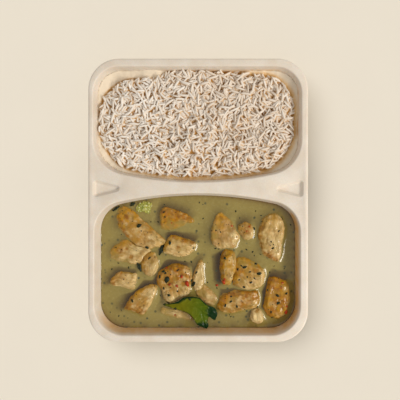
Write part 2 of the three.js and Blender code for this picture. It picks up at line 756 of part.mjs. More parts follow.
function rice() {
  const random = randomFrom(GRAIN.seed);
  const step = GRAIN.spacing;
  const core = riceCore(random);
  const surface = toGeometry(core);
  let heap = core;
  for (let y = -RICE_WELL.arch; y < RICE_WELL.far; y += step) {
    for (let x = RICE_WELL.x - RICE_WELL.halfWidth; x < RICE_WELL.x + RICE_WELL.halfWidth; x += step) {
      const placeX = x + step * random();
      const placeY = y + step * random();
      if (insideHeap(placeX, placeY) > 0) {
        const height = topOf(surface, [placeX, placeY]) + GRAIN.lift;
        heap = heap.add(grain(placeX, placeY, height, random));
      }
    }
  }
  return largestBody(heap.intersect(toSolid(loft(wellRings(RICE_WELL, CLEARANCE, TRAY.height)))));
}

// ---------------------------------------------------------------- the whole meal

function sauce(pockets) {
  const pool = toSolid(loft(wellRings(CURRY_WELL, CLEARANCE, SAUCE_LEVEL)));
  return largestBody(pockets.reduce((left, pocket) => left.subtract(pocket), pool));
}

// Each piece is cut back where a piece that lies over it, or a leaf, presses into it.
function meatPieces(leafPockets) {
  const names = Object.keys(PIECES);
  return names.map((name, i) => {
    const above = [...names.slice(i + 1).map((other) => chunk(other, CLEARANCE)), ...leafPockets];
    const cut = above.reduce((left, pocket) => left.subtract(pocket), chunk(name, 0));
    return [name, addFlakes(largestBody(cut), name)];
  });
}

function named(name, solid, colour, roughness) {
  const material = new THREE.MeshStandardMaterial({ color: colour, roughness, metalness: 0 });
  const mesh = new THREE.Mesh(toGeometry(solid), material);
  mesh.name = name;
  return mesh;
}

const COLOURS = {
  tray: "#e0d1bb",
  rice: "#d3bd9d",
  sauce: "#95803f",
  leaf: "#4f5d0f",
  scrap: "#1f2a12",
  vegetable: "#a9a24f",
  meat: "#b48a52",
  browned: "#a8702f",
};

function colourOf(name) {
  if (name === "green_vegetable") return COLOURS.vegetable;
  return ["chicken_browned", "chicken_low_right", "chicken_orange"].includes(name) ? COLOURS.browned : COLOURS.meat;
}

function meal() {
  const group = new THREE.Group();
  const leafPockets = leaves(CLEARANCE).map(([, pocket]) => pocket);
  const pockets = [...Object.keys(PIECES).map((name) => chunk(name, CLEARANCE)), ...leafPockets];
  group.add(named("tray", tray(), COLOURS.tray, 0.7));
  group.add(named("rice", rice(), COLOURS.rice, 0.5));
  group.add(named("sauce", sauce(pockets), COLOURS.sauce, 0.25));
  for (const [name, solid] of meatPieces(leafPockets)) {
    group.add(named(name, solid, colourOf(name), 0.4));
  }
  for (const [name, solid] of leaves(0)) {
    group.add(named(name, solid, name === "leaf" ? COLOURS.leaf : COLOURS.scrap, 0.35));
  }
  return group;
}

export default meal();
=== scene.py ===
"""Thai green curry and rice in a two-well fibre tray: the finish of every visible piece."""

import math
import random
from functools import partial

import bmesh
import bpy
import numpy as np
from bpy.props import FloatProperty, FloatVectorProperty, IntProperty, PointerProperty
from mathutils import Matrix, Vector, noise
from mathutils.bvhtree import BVHTree
from mathutils.geometry import delaunay_2d_cdt
from mathutils.kdtree import KDTree


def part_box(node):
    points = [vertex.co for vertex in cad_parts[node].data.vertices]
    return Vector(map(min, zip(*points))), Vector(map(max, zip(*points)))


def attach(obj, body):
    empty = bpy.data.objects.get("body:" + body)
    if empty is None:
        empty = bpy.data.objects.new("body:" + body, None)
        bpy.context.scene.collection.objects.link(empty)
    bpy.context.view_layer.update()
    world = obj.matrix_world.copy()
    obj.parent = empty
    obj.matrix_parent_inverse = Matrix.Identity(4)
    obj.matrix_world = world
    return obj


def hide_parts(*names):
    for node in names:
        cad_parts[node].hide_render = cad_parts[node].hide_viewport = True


bl_info = {
    "name": "Thai green curry",
    "version": (1, 0, 0),
    "blender": (4, 5, 0),
    "location": "3D View > Sidebar > Curry",
    "description": "Builds the looks of a tray of thai green curry with rice",
    "category": "Object",
}

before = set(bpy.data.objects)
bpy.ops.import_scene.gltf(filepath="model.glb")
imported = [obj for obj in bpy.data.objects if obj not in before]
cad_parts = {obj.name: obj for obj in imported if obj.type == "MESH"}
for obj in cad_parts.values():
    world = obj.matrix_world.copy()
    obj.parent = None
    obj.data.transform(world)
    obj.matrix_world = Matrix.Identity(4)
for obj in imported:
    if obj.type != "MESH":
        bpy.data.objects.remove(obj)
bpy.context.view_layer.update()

MM = 0.001
UP = Vector((0, 0, 1))

# ------------------------------------------------------------------ sizes, in millimetres

TRAY_LENGTH = 229.5
TRAY_WIDTH = 178
TRAY_HEIGHT = 34
TRAY_CORNER = 25
# The turned-down edge of the flange, as (in from the edge, down from the top).
LIP = [(0.0, 3.2), (0.02, 2.2), (0.1, 1.3), (0.3, 0.75), (0.62, 0.36), (1.05, 0.1), (1.6, 0.0)]
RIM_RADIUS = 1.2
WALL_SLOPE = 0.16
FLOOR_RADIUS = 7
WALL_ANGLE = math.atan(WALL_SLOPE)

RICE_WELL = {
    "side": -1, "x": -0.65, "half_width": 85.4, "far": 109.4, "arch": -13.6,
    "far_radius": 22.5, "arch_corner": 30, "arch_radius": 297,
}
CURRY_WELL = {
    "side": 1, "x": -0.65, "half_width": 84.4, "far": 110.3, "arch": 6.8,
    "far_radius": 25, "arch_corner": 26, "arch_radius": 297,
}
RECESS = {"outer": 85, "inner": 55.5, "y": 9.5, "half": 7.4, "corner": 2.6}
# Its wall, as (in from its edge, down from the flange).
RECESS_PROFILE = [(-0.4, 0), (-0.15, 0.12), (0.1, 0.45), (0.35, 0.9), (1.75, 2.5), (2.05, 2.9), (2.35, 3)]
BRIDGE_MIDDLE = 10
# The highest stains on the walls.
OIL_TOP = 33
SPLASH_TOP = 33.5

SAUCE_LEVEL = 19
# How soon the sauce that climbs a piece sinks back: to about a third over this distance.
MENISCUS = 2.5
# How high the sauce climbs a piece, as a share of how far the piece stands out of it, and its limits.
CLIMB_SHARE = 0.36
LEAST_CLIMB = 0.4
MOST_CLIMB = 2.1
# How dark the painted shadow is that the leaves and the vegetable cast on the sauce beside them.
GREENS_SHADOW = 0.3
# The maps of the sauce: how far they reach along x and y, and the size of their cells.
SAUCE_REACH = ((-84, 83), (-109, 6))
CONTACT_CELL = 0.5
# How far the sauce's solid keeps off the wall below its surface.
CLEARANCE = 0.35
# A height over everything, from which rays look down.
ABOVE_ALL = 40

RICE_LEVEL = 25
RICE_EDGE_DROP = 3
RICE_EDGE_REACH = 6
RICE_SKIRT_RISE = 0.4
RICE_CORNER = 28
RICE_MIDDLE = 62  # where the well's middle lies along y
# How far the heap stands off the walls. At its far side the gap changes twice along x.
RICE_GAPS = {"left": 1.6, "right": 4, "arch": 3.5}
RICE_FAR_GAPS = (7, 0.5, 3.5)
RICE_FAR_STEPS = ((-36, -24), (20, 50))
PEAK = {"x": -5, "y": 100, "rise": 2.2, "reach_x": 26, "reach_y": 9}
# Lumps in the heap: their size, their rise, and for how many cells along x and y one height serves.
RICE_LUMPS = (8, 1.3, 4)
# How deep the loose grains lie, and with how much room or more a grain is laid.
RICE_DEPTH = 1.1
LEAST_ROOM = 0.2
# The maps of the rice: their lowest corner and their size. Grains are drawn within the reach.
RICE_MAP = ((-84.0, 14.0), (170, 96))
RICE_REACH = ((-82, 80), (16, 107))
HEIGHT_CELL = 0.5
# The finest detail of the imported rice, of the meat and of the vegetable.
HEAP_CELL = 0.95
MEAT_CELL = 0.5
FLORET_CELL = 0.42
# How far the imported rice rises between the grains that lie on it.
PACKED_RISE = 0.12
# How high a grain rests over what it lies on, as a share of its width: cooked grains sink in.
GRAIN_REST = 0.08
GRAIN_LENGTHS = (4.8, 10)
GRAIN_WIDTHS = (1.7, 2.4)
# The most a grain may tilt, as a slope, how far its ends may leave the heap, how far it may roll,
# in radians, and the share of grains that lie flatter.
STEEPEST = 0.62
GRAIN_OVERHANG = 1.6
GRAIN_ROLL = 0.6
FLAT_SHARE = 0.16
# The least and the most that a fleck is stretched along, across and up.
FLECK_SIZES = ((0.35, 0.35, 0.6), (1.35, 1.0, 1.2))

# The meat. Each piece has: how dark the painted shadow is that it casts on the sauce beside it, the
# direction of its fibres in degrees, how much of four tones the whole piece has, then its spots of
# brown (partly browning, partly painted shade), of clinging sauce, and of a pale tone (painted light
# on faces turned to the key light), each (x, y, radius).
MEAT_TRAITS = (
    "shade", "grain", "gold", "browned", "pink", "pale", "brown_and_shade_spots", "film_spots", "painted_light_spots",
)
MEAT_ROWS = {
    "chicken_left_low": (
        0.35, -19, 0.6, 0.2, 0.45, 0.3,
        [(-56.2, -36.7, 1.6), (-59.5, -40.8, 1.5), (-55.7, -47.5, 1.6), (-66, -42, 3)],
        [(-70, -46, 4), (-62, -53, 4)], [(-52, -40, 5), (-63, -50, 4)],
    ),
    "chicken_left_round": (
        0.6, 94, 0.4, 0.25, 0.35, 0.3,
        [(-46.6, -49.9, 1.6), (-50.8, -49.1, 1.4)], [], [(-37, -58, 4)],
    ),
    "chicken_slab": (
        0.5, -39, 1.0, 0.22, 0.75, 0.0,
        [(-66, -18.5, 3.5), (-64.5, -25, 3.2), (-60, -31, 3), (-55, -37, 2.4), (-60.5, -15, 2.5)],
        [], [(-37, -30, 4.5), (-44, -25, 3), (-31.5, -36, 4)],
    ),
    "chicken_orange": (
        0.8, -2, 3.2, 0.75, 0.2, 0.1,
        [(-24, -8.5, 5), (-17, -11, 4.5), (-10.5, -13.5, 4.5), (-5.5, -15.5, 3)],
        [(-24, -20.5, 3.5), (-15, -20, 3.5)], [(-30.5, -18.5, 2), (-26.5, -19.3, 1.8)],
    ),
    "chicken_block": (
        1.0, 166, 0.6, 0.15, 0.35, 0.6,
        [(-19.5, -30.5, 3), (-11.5, -32.5, 3.5), (-5, -35, 2.6), (-17, -39.5, 2)],
        [], [(-22, -41, 5), (-9, -43, 4)],
    ),
    "chicken_wedge": (
        0.35, 98, 0.5, 0.0, 0.95, 0.1,
        [(28, -37.9, 1.6), (19, -15, 2)],
        [(12, -30, 3.5), (13, -23, 3)], [(29.5, -29, 3), (31, -34, 2.5), (21.5, -38.5, 4)],
    ),
    "chicken_nugget": (
        0.7, 107, 0.45, 0.4, 0.2, 0.5,
        [(40, -25.9, 3), (42, -22.2, 2)], [], [(36.6, -22.2, 1.4)],
    ),
    "chicken_far_right": (
        0.3, 86, 0.4, 0.15, 0.3, 0.6,
        [(50.7, -23.4, 3.2), (50, -30, 2.8), (51.5, -38.3, 3), (57.4, -47.5, 5), (62, -50, 4)],
        [(48, -45, 3)], [(61, -29.6, 2.6), (62, -37, 2.8), (66, -22, 4)],
    ),
    "chicken_sunken": (
        0.1, -43, 0.2, 0.1, 0.8, 0.2,
        [], [(3, -78, 4), (14, -86, 3)], [(9, -81, 3)],
    ),
    "chicken_long": (
        0.9, 5, 0.9, 0.8, 0.3, 0.05,
        [(22, -77, 5), (29, -76.5, 4), (42.5, -78.2, 5), (47, -80, 3)],
        [], [(24, -85.5, 4), (34, -84, 4), (42.5, -85, 4)],
    ),
    "chicken_strip": (
        0.6, 84, 0.25, 0.1, 0.6, 0.65,
        [(-2, -54, 2)], [], [(1.5, -60, 2.5), (1, -68, 2.5)],
    ),
    "chicken_browned": (
        1.0, -79, 0.8, 0.72, 0.15, 0.15,
        [(-25, -57, 5), (-14, -58, 5), (-12, -66, 5), (-20, -64, 5)],
        [], [(-22, -80.5, 5), (-30, -76, 3), (-13, -78, 3)],
    ),
    "chicken_under_leaf": (
        0.4, 164, 0.15, 0.1, 0.7, 0.7,
        [], [], [(-24, -94, 3)],
    ),
    "chicken_low_left": (
        1.0, 53, 0.6, 0.3, 0.3, 0.2,
        [(-57, -90.5, 5), (-48.7, -93, 5.5), (-60, -86, 3)], [], [(-42, -76, 5), (-40, -84, 3)],
    ),
    "chicken_small_left": (
        0.8, -9, 0.4, 0.22, 0.15, 0.65,
        [(-71.9, -69, 3), (-66, -61, 2.5)], [], [(-61, -71.5, 4.5), (-54.5, -72.3, 4)],
    ),
    "chicken_tall_lobe": (
        1.1, 85, 1.5, 0.25, 0.35, 0.15,
        [(19.3, -46.6, 3), (18.4, -53.3, 3), (18.4, -60, 3.4), (20, -67, 3)],
        [], [(27.5, -58, 3), (26, -50, 2.4)],
    ),
    "chicken_round_lobe": (
        0.4, -52, 1.0, 0.25, 0.35, 0.2,
        [(34, -60, 4), (47, -57, 3)],
        [(36, -53, 3.5), (46, -53, 3.5)], [(52.4, -60, 3), (49, -68, 4), (41, -73, 4)],
    ),
    "chicken_low_right": (
        1.0, -99, 2.2, 0.4, 0.12, 0.15,
        [(63.2, -69, 6), (67.3, -83, 6.5), (60.7, -93, 5), (66, -76, 4)],
        [], [(57, -80, 3), (64, -96, 3.5)],
    ),
    "chicken_crumb": (
        0.5, 100, 0.0, 0.0, 0.2, 1.3,
        [(48.7, -92, 2)], [], [(48, -97, 4)],
    ),
}
MEAT = {node: dict(zip(MEAT_TRAITS, row)) for node, row in MEAT_ROWS.items()}
# The pieces whose own colour is a browned one.
BROWNED_PIECES = ("chicken_browned", "chicken_low_right", "chicken_orange")

# Loose bits on the meat, each (x, y, size).
HERB_BITS = [
    (-49.5, -21.3, 3.4), (-42.9, -39.6, 2.8), (-28.8, -10.2, 1.6), (-28, -14.3, 1.6), (-23.8, -35.4, 2.8),
    (-4.4, -40.2, 1.6), (11, -25.9, 1.3), (14.3, -25.5, 1.2), (18, -26.7, 1.2), (13.9, -40.8, 1.3),
    (16.8, -40.8, 1.3), (45.8, -24.2, 2.4), (66.5, -25.9, 1.6), (59.9, -34.6, 1.6), (61.5, -40, 1.8),
    (-54.9, -83.5, 2.4), (-40.8, -48.3, 2.2), (-28.8, -59.1, 2.4), (-32.1, -63.6, 2.6), (-25.9, -65.7, 4.2),
    (-17.2, -58.2, 2), (-24.7, -78.9, 2.2), (-28.8, -73.1, 2.2), (-27.2, -60.4, 1.8), (-1.9, -60.3, 2.2),
    (-4.4, -70.2, 3.6), (-6.4, -67.3, 2.2), (21.7, -47.9, 2.2), (35.4, -54.5, 2), (38.3, -55.7, 3),
    (47.4, -53.3, 2), (50.3, -60.7, 3.4), (42.5, -59.5, 1.8), (32.5, -57.4, 1.6), (43.3, -67.8, 2.2),
    (37.5, -71.9, 1.8), (27.1, -80.2, 1.8), (22.1, -87.2, 2.2), (26.7, -84.3, 1.8), (31.7, -88.5, 2),
    (48.7, -89.3, 1.4), (65.2, -78.9, 2.8), (65.7, -85.2, 2.6), (57.4, -74.8, 1.6), (72.7, -77.3, 1.8),
    (59.9, -92.6, 1.6), (61.1, -98, 1.6), (-25.5, -85.6, 2), (-18.9, -89.7, 1.8), (-7.3, -81.4, 2.2),
    (-17.5, -75.5, 1.6), (40.2, -63.6, 1.5), (46.2, -64.9, 1.6), (33.6, -66, 1.4),
]
CHILLI_BITS = [
    (-26.7, -56.6, 1.8), (-13.9, -63.2, 2.6), (-9.3, -69, 4.2), (-23.8, -69.8, 2.2), (-18, -71.1, 2.2),
    (27.3, -21.8, 1.8), (42, -22.2, 1.5), (40, -25.9, 1.3), (-22.6, -19.3, 1.2), (20.9, -68.2, 3.6),
    (21.5, -65.5, 2.4), (15.1, -71.5, 2.4), (69.4, -68.6, 1.8), (68.1, -72.7, 1.4), (72.7, -88.1, 1.8),
    (72.3, -93, 3.6), (-19.7, -95.9, 1.5), (-5.6, -98, 1.4),
]

# The large leaf droops from its peak. Its edge runs from the stalk round the notched tips and back.
LEAF_THICKNESS = 0.5
VEIN_SPACING = 4.6
LEAF = {
    "middle": (1, -87.3), "peak": (-6, -87, 26.8), "droop": 0.0054, "ripple": 0.35,
    "edge": [
        (-30.4, -86.5), (-25.3, -88.2), (-18.9, -90.2), (-11.6, -91.8), (-7, -94.6), (-3.3, -98.9),
        (-1.8, -102.4), (3.9, -105.6), (6.9, -107), (8.4, -104.2), (7.6, -100.6), (8.7, -96.4),
        (11.2, -98.4), (13.8, -99.6), (15.3, -96.4), (15.4, -92.7), (13.2, -89), (7.4, -86.4),
        (4.2, -83.3), (0.7, -80.6), (-3, -79.6), (-9.2, -79.7), (-13.5, -80.6), (-16.9, -83.2),
        (-21.9, -85.2),
    ],
    "midrib": [(-30, -86.4), (-14, -85.9), (-3, -87), (2.5, -92), (5.4, -105)],
}

# Scraps of leaf: path runs along the midrib as (x, y, z); left and right are the half widths along it.
SCRAPS = {
    "leaf_scrap_rim": {
        "path": [(-71.6, -9.6, 20), (-69, -7.4, 20.6), (-66, -5.6, 20.4)],
        "left": [0.5, 1, 0.4], "right": [0.5, 1, 0.4],
        "stations": 20, "columns": 8, "wave": 0.2, "curl": 0.2, "ragged": 0.3,
    },
    "leaf_scrap_corner": {
        "path": [(-57.2, -5.2, 20.2), (-55.2, -3.9, 20.6), (-53, -2.7, 20.2)],
        "left": [0.5, 1.7, 0.4], "right": [0.5, 1.5, 0.4],
        "stations": 20, "columns": 10, "wave": 0.2, "curl": 0.4, "ragged": 0.3,
    },
    "leaf_scrap_strip": {
        "path": [(-30, -37.2, 20.2), (-31.2, -41.5, 20.9), (-33, -46.5, 20.1)],
        "left": [1.2, 2, 0.5], "right": [1.2, 1.4, 0.5],
        "stations": 26, "columns": 10, "wave": 0.3, "curl": 0.4, "ragged": 0.25,
    },
    "leaf_scrap_left": {
        "path": [(-51, -52.6, 21.6), (-49.6, -55.6, 21.8), (-48, -60, 21)],
        "left": [0.6, 1.9, 0.5], "right": [0.6, 1.6, 0.5],
        "stations": 22, "columns": 10, "wave": 0.2, "curl": 0.3, "ragged": 0.25,
    },
}

# The camera looks straight down from over this point.
CAMERA = {"place": (19, 20, 449), "lens": 46.27, "shift": (-0.054, -0.061)}
FLOOR_HALF = 1500
# Where the lights stand, in metres, and the size of the key light.
KEY_PLACE = (0.87, -0.32, 0.87)
KEY_SIZE = (0.9, 0.32)
BACKDROP_PLACE = (-0.36, 0.42, 1)


# ------------------------------------------------------------------ small helpers


def rgb(code):
    """A colour written as #rrggbb, in linear red, green and blue."""
    shares = [int(code[i:i + 2], 16) / 255 for i in (1, 3, 5)]
    return tuple(s / 12.92 if s <= 0.04045 else ((s + 0.055) / 1.055) ** 2.4 for s in shares)


def colour(value):
    """A linear colour as the four numbers that a colour socket holds."""
    return (*value[:3], 1.0)


def smoothstep(x, low, high):
    t = np.clip((x - low) / (high - low), 0, 1)
    return t * t * (3 - 2 * t)


def step(x, low, high):
    """How far a number has come on a smooth way from low to high, 0 to 1."""
    return float(smoothstep(x, low, high))


def eased(values, t):
    """The value of a list of numbers at a share t of its length, eased between its entries."""
    place = t * (len(values) - 1)
    start = min(int(place), len(values) - 2)
    return values[start] + (values[start + 1] - values[start]) * step(place - start, 0, 1)


def fractal(point, size, octaves=3):
    """Layered noise, about -1 to 1, with lumps of size millimetres."""
    return noise.fractal(Vector(point) / size, 1.0, 2.0, octaves)


def add(tree, kind, inputs=None, **settings):
    """Adds a node with its settings; inputs gives each socket a value or the output that feeds it."""
    made = tree.nodes.new(kind)
    for name, value in settings.items():
        setattr(made, name, value)
    for socket, value in (inputs or {}).items():
        if isinstance(value, bpy.types.NodeSocket):
            tree.links.new(value, made.inputs[socket])
        else:
            made.inputs[socket].default_value = value
    return made


class Look:
    """A material in the making: its node tree, its shader, and a base colour laid on in layers."""

    def __init__(self, name, fixed, vector=None):
        """fixed has the shader's plain values; vector names a stored one that places the patterns."""
        self.material = bpy.data.materials.new(name)
        self.material.use_nodes = True
        self.tree = self.material.node_tree
        self.tree.nodes.clear()
        self.shader = self.node("ShaderNodeBsdfPrincipled", fixed)
        self.node("ShaderNodeOutputMaterial", {"Surface": self.shader.outputs["BSDF"]})
        if vector:
            self.place = self.stored(vector, "Vector")
        else:
            self.place = self.node("ShaderNodeTexCoord").outputs["Object"]
        self.base = self.normal = None

    def node(self, kind, inputs=None, **settings):
        return add(self.tree, kind, inputs, **settings)

    def stored(self, name, output="Fac"):
        """A value that the mesh holds at its points."""
        return self.node("ShaderNodeAttribute", attribute_name=name).outputs[output]

    def math(self, first, second, operation="MULTIPLY"):
        return self.node("ShaderNodeMath", {0: first, 1: second}, operation=operation).outputs[0]

    def noise(self, size, detail=3.0, roughness=0.5, vector=None):
        """Noise whose lumps measure size millimetres."""
        inputs = {"Scale": 1 / (size * MM), "Detail": detail, "Roughness": roughness}
        inputs["Vector"] = self.place if vector is None else vector
        return self.node("ShaderNodeTexNoise", inputs).outputs["Fac"]

    def spread(self, value, low, high, to_low=0.0, to_high=1.0):
        """A value stretched from low..high to to_low..to_high and held there."""
        inputs = {"Value": value, "From Min": low, "From Max": high, "To Min": to_low, "To Max": to_high}
        return self.node("ShaderNodeMapRange", inputs).outputs["Result"]

    def patches(self, pattern, least):
        """A share of one that a pattern takes down to a least share in places."""
        return self.spread(pattern, 0.3, 0.6, least, 1.0)

    def mix(self, factor, *ends):
        """A mix of two colours, each of them a tone or an output."""
        first, second = (end if isinstance(end, bpy.types.NodeSocket) else colour(end) for end in ends)
        return self.node("ShaderNodeMix", {0: factor, 6: first, 7: second}, data_type="RGBA").outputs[2]

    def layer(self, factor, tone):
        """Lays a tone over the colour so far."""
        self.base = self.mix(factor, self.base, tone)

    def stain(self, name, tone, share=None):
        """Lays a tone where the mesh holds a value, as strong as the value, or a share of it."""
        held = self.stored(name)
        self.layer(held if share is None else self.math(held, share), tone)

    def feed(self, socket, output):
        self.tree.links.new(output, self.shader.inputs[socket])

    def relief(self, height, strength, depth, sockets=("Normal",)):
        """Bumps of a depth in millimetres, on top of those laid before."""
        inputs = {"Height": height, "Strength": strength, "Distance": depth * MM}
        if self.normal is not None:
            inputs["Normal"] = self.normal
        self.normal = self.node("ShaderNodeBump", inputs).outputs["Normal"]
        for socket in sockets:
            self.feed(socket, self.normal)

    def finished(self, roughness=None):
        """The material, its shader fed with the colour and, where one is given, a roughness."""
        self.feed("Base Color", self.base)
        if roughness is not None:
            self.feed("Roughness", roughness)
        return self.material


def in_scene(name, data):
    """A new object of the scene."""
    thing = bpy.data.objects.new(name, data)
    bpy.context.scene.collection.objects.link(thing)
    return thing


def new_piece(name, mesh, material, node=None, slot=None):
    """Puts a finished mesh in the scene, riding on the tray's body, in place of its CAD node."""
    piece = in_scene(name, mesh)
    mesh.materials.clear()
    mesh.materials.append(material)
    mesh.polygons.foreach_set("material_index", [0] * len(mesh.polygons))
    mesh.shade_smooth()
    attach(piece, "root")
    if node:
        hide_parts(node)


def bake_modifiers(piece):
    """A plain mesh of the piece with its modifiers applied; the piece itself goes."""
    bpy.context.view_layer.update()
    seen = piece.evaluated_get(bpy.context.evaluated_depsgraph_get())
    mesh = bpy.data.meshes.new_from_object(seen)
    bpy.data.objects.remove(piece)
    return mesh


def vertex_rows(mesh, key):
    """A vector at each point of a mesh, one row each."""
    flat = np.zeros(len(mesh.vertices) * 3, np.float64)
    mesh.vertices.foreach_get(key, flat)
    return flat.reshape(-1, 3)


def points_of(mesh):
    """The points of a mesh in millimetres."""
    return vertex_rows(mesh, "co") / MM


def normals_of(mesh):
    return vertex_rows(mesh, "normal")


def move_points(mesh, points):
    mesh.vertices.foreach_set("co", (np.asarray(points) * MM).ravel())
    mesh.update()


def store(mesh, name, values, kind="FLOAT"):
    """Keeps a value at each point of the mesh, for its material to read."""
    attribute = mesh.attributes.new(name, kind, "POINT")
    key = "vector" if kind == "FLOAT_VECTOR" else "value"
    attribute.data.foreach_set(key, np.asarray(values, np.float32).ravel())


def mesh_from(name, points, faces, unit=MM):
    """A mesh from points in millimetres, or in another unit, its faces turned outwards by their order."""
    mesh = bpy.data.meshes.new(name)
    mesh.from_pydata([tuple(float(v) * unit for v in p) for p in points], [], faces)
    mesh.update()
    return mesh


def edit(mesh, change):
    """Makes a change to a mesh that needs its edges and faces."""
    bm = bmesh.new()
    bm.from_mesh(mesh)
    change(bm)
    bm.to_mesh(mesh)
    bm.free()


# ------------------------------------------------------------------ outlines of the tray


def arc(centre, radius, start, end, steps):
    angles = np.linspace(start, end, steps + 1)
    return [(centre[0] + radius * math.cos(a), centre[1] + radius * math.sin(a)) for a in angles]


def tray_outline(inset):
    """The edge of the flange, drawn in by inset, anticlockwise from above."""
    x = TRAY_WIDTH / 2 - TRAY_CORNER
    y = TRAY_LENGTH / 2 - TRAY_CORNER
    outline = []
    for turn, centre in enumerate([(x, y), (-x, y), (-x, -y), (x, -y)]):
        outline += arc(centre, TRAY_CORNER - inset, turn * math.pi / 2, (turn + 1) * math.pi / 2, 16)
    return outline


def well_outline(well, inset):
    """The edge of a well at its rim, drawn in by inset, anticlockwise from above."""
    far_x = well["half_width"] - well["far_radius"]
    far_y = well["far_radius"] - well["far"]
    arch_x = well["half_width"] - well["arch_corner"]
    arch_centre = well["arch"] - well["arch_radius"]
    arch_y = arch_centre + math.sqrt((well["arch_radius"] - well["arch_corner"]) ** 2 - arch_x ** 2)
    meet = math.atan2(arch_y - arch_centre, arch_x)
    far = well["far_radius"] - inset
    corner = well["arch_corner"] - inset
    outline = arc((-far_x, far_y), far, math.pi, 1.5 * math.pi, 16)
    outline += arc((far_x, far_y), far, 1.5 * math.pi, 2 * math.pi, 16)
    outline += arc((arch_x, arch_y), corner, 0, meet, 16)
    outline += arc((0, arch_centre), well["arch_radius"] - inset, meet, math.pi - meet, 32)[1:-1]
    outline += arc((-arch_x, arch_y), corner, math.pi - meet, math.pi, 16)
    placed = [(well["x"] + u, well["side"] * v) for u, v in outline]
    return placed if well["side"] > 0 else placed[::-1]


def recess_outline(end, inset):
    """The edge of the recess at one end of the bridge, drawn in by inset."""
    outer, inner = end * RECESS["outer"], end * RECESS["inner"]
    y, half = RECESS["y"], RECESS["half"]
    corners = [Vector(c) for c in ((inner, y), (outer, y - half), (outer, y + half))]
    if end < 0:
        corners.reverse()
    outline = []
    for i, here in enumerate(corners):
        before = (corners[i - 1] - here).normalized()
        after = (corners[(i + 1) % 3] - here).normalized()
        half_angle = math.acos(before.dot(after)) / 2
        centre = here + (before + after).normalized() * RECESS["corner"] / math.sin(half_angle)
        start = math.atan2(-before.x, before.y) + math.pi
        outline += arc(centre, RECESS["corner"] - inset, start, start + math.pi - 2 * half_angle, 8)
    return outline


def wall_inset(z, offset=0.0):
    """How far a well's wall lies in from its rim at height z; offset moves it into the well."""
    foot_inset = RIM_RADIUS * math.cos(WALL_ANGLE)
    foot_z = TRAY_HEIGHT - RIM_RADIUS * (1 - math.sin(WALL_ANGLE))
    return foot_inset + WALL_SLOPE * (foot_z - z) + offset / math.cos(WALL_ANGLE)


def well_profile(offset, top):
    """The wall of a well from top down to its floor, as (inset, z)."""
    radius = FLOOR_RADIUS - offset
    centre_z = 1 + FLOOR_RADIUS
    centre_inset = wall_inset(centre_z) + FLOOR_RADIUS / math.cos(WALL_ANGLE)
    bend_top = centre_z - radius * math.sin(WALL_ANGLE)
    wall = [(wall_inset(z, offset), z) for z in np.linspace(top, bend_top, 12)[:-1]]
    angles = np.linspace(WALL_ANGLE, math.pi / 2, 9)
    return wall + [(centre_inset - radius * math.cos(a), centre_z - radius * math.sin(a)) for a in angles]


# ------------------------------------------------------------------ tray


def ring(bm, outline, z):
    return [bm.verts.new((x * MM, y * MM, z * MM)) for x, y in outline]


def join_rings(bm, first, second):
    """Quads between two rings. They face outwards going up, and into a well going down."""
    for i, point in enumerate(first):
        j = (i + 1) % len(first)
        bm.faces.new((point, first[j], second[j], second[i]))


def edges_of(bm, loop):
    ends = [(loop[i - 1], point) for i, point in enumerate(loop)]
    return [bm.edges.get(pair) or bm.edges.new(pair) for pair in ends]


def sink(bm, outline, profile):
    """A hollow in the flange, down a profile of (inset, z) from its outline. Gives its upper edge."""
    rings = [ring(bm, outline(inset), z) for inset, z in profile]
    for high, low in zip(rings, rings[1:]):
        join_rings(bm, high, low)
    bm.faces.new(rings[-1])
    return edges_of(bm, rings[0])


def tray_mesh(wall):
    """The upper face of the tray as one sheet, given its wall thickness below."""
    bm = bmesh.new()
    lip = [ring(bm, tray_outline(inset), TRAY_HEIGHT - drop) for inset, drop in LIP]
    for low, high in zip(lip, lip[1:]):
        join_rings(bm, low, high)
    flange = edges_of(bm, lip[-1])
    angles = np.linspace(0, math.pi / 2 - WALL_ANGLE, 6)
    rim = [(RIM_RADIUS * math.sin(a), TRAY_HEIGHT - RIM_RADIUS * (1 - math.cos(a))) for a in angles]
    for well in (RICE_WELL, CURRY_WELL):
        flange += sink(bm, partial(well_outline, well), rim + well_profile(0, rim[-1][1])[1:])
    for end in (-1, 1):
        profile = [(inset, TRAY_HEIGHT - drop) for inset, drop in RECESS_PROFILE]
        flange += sink(bm, partial(recess_outline, end), profile)
    bmesh.ops.triangle_fill(bm, use_beauty=True, use_dissolve=False, edges=flange, normal=UP)
    for face in bm.faces:
        if face.normal.z < -0.5:
            face.normal_flip()
    mesh = bpy.data.meshes.new("tray")
    bm.to_mesh(mesh)
    bm.free()
    piece = in_scene("tray_sheet", mesh)
    solidify = piece.modifiers.new("wall", "SOLIDIFY")
    solidify.thickness = wall
    solidify.offset = -1
    solidify.use_even_offset = True
    solidify.use_quality_normals = True
    return bake_modifiers(piece)


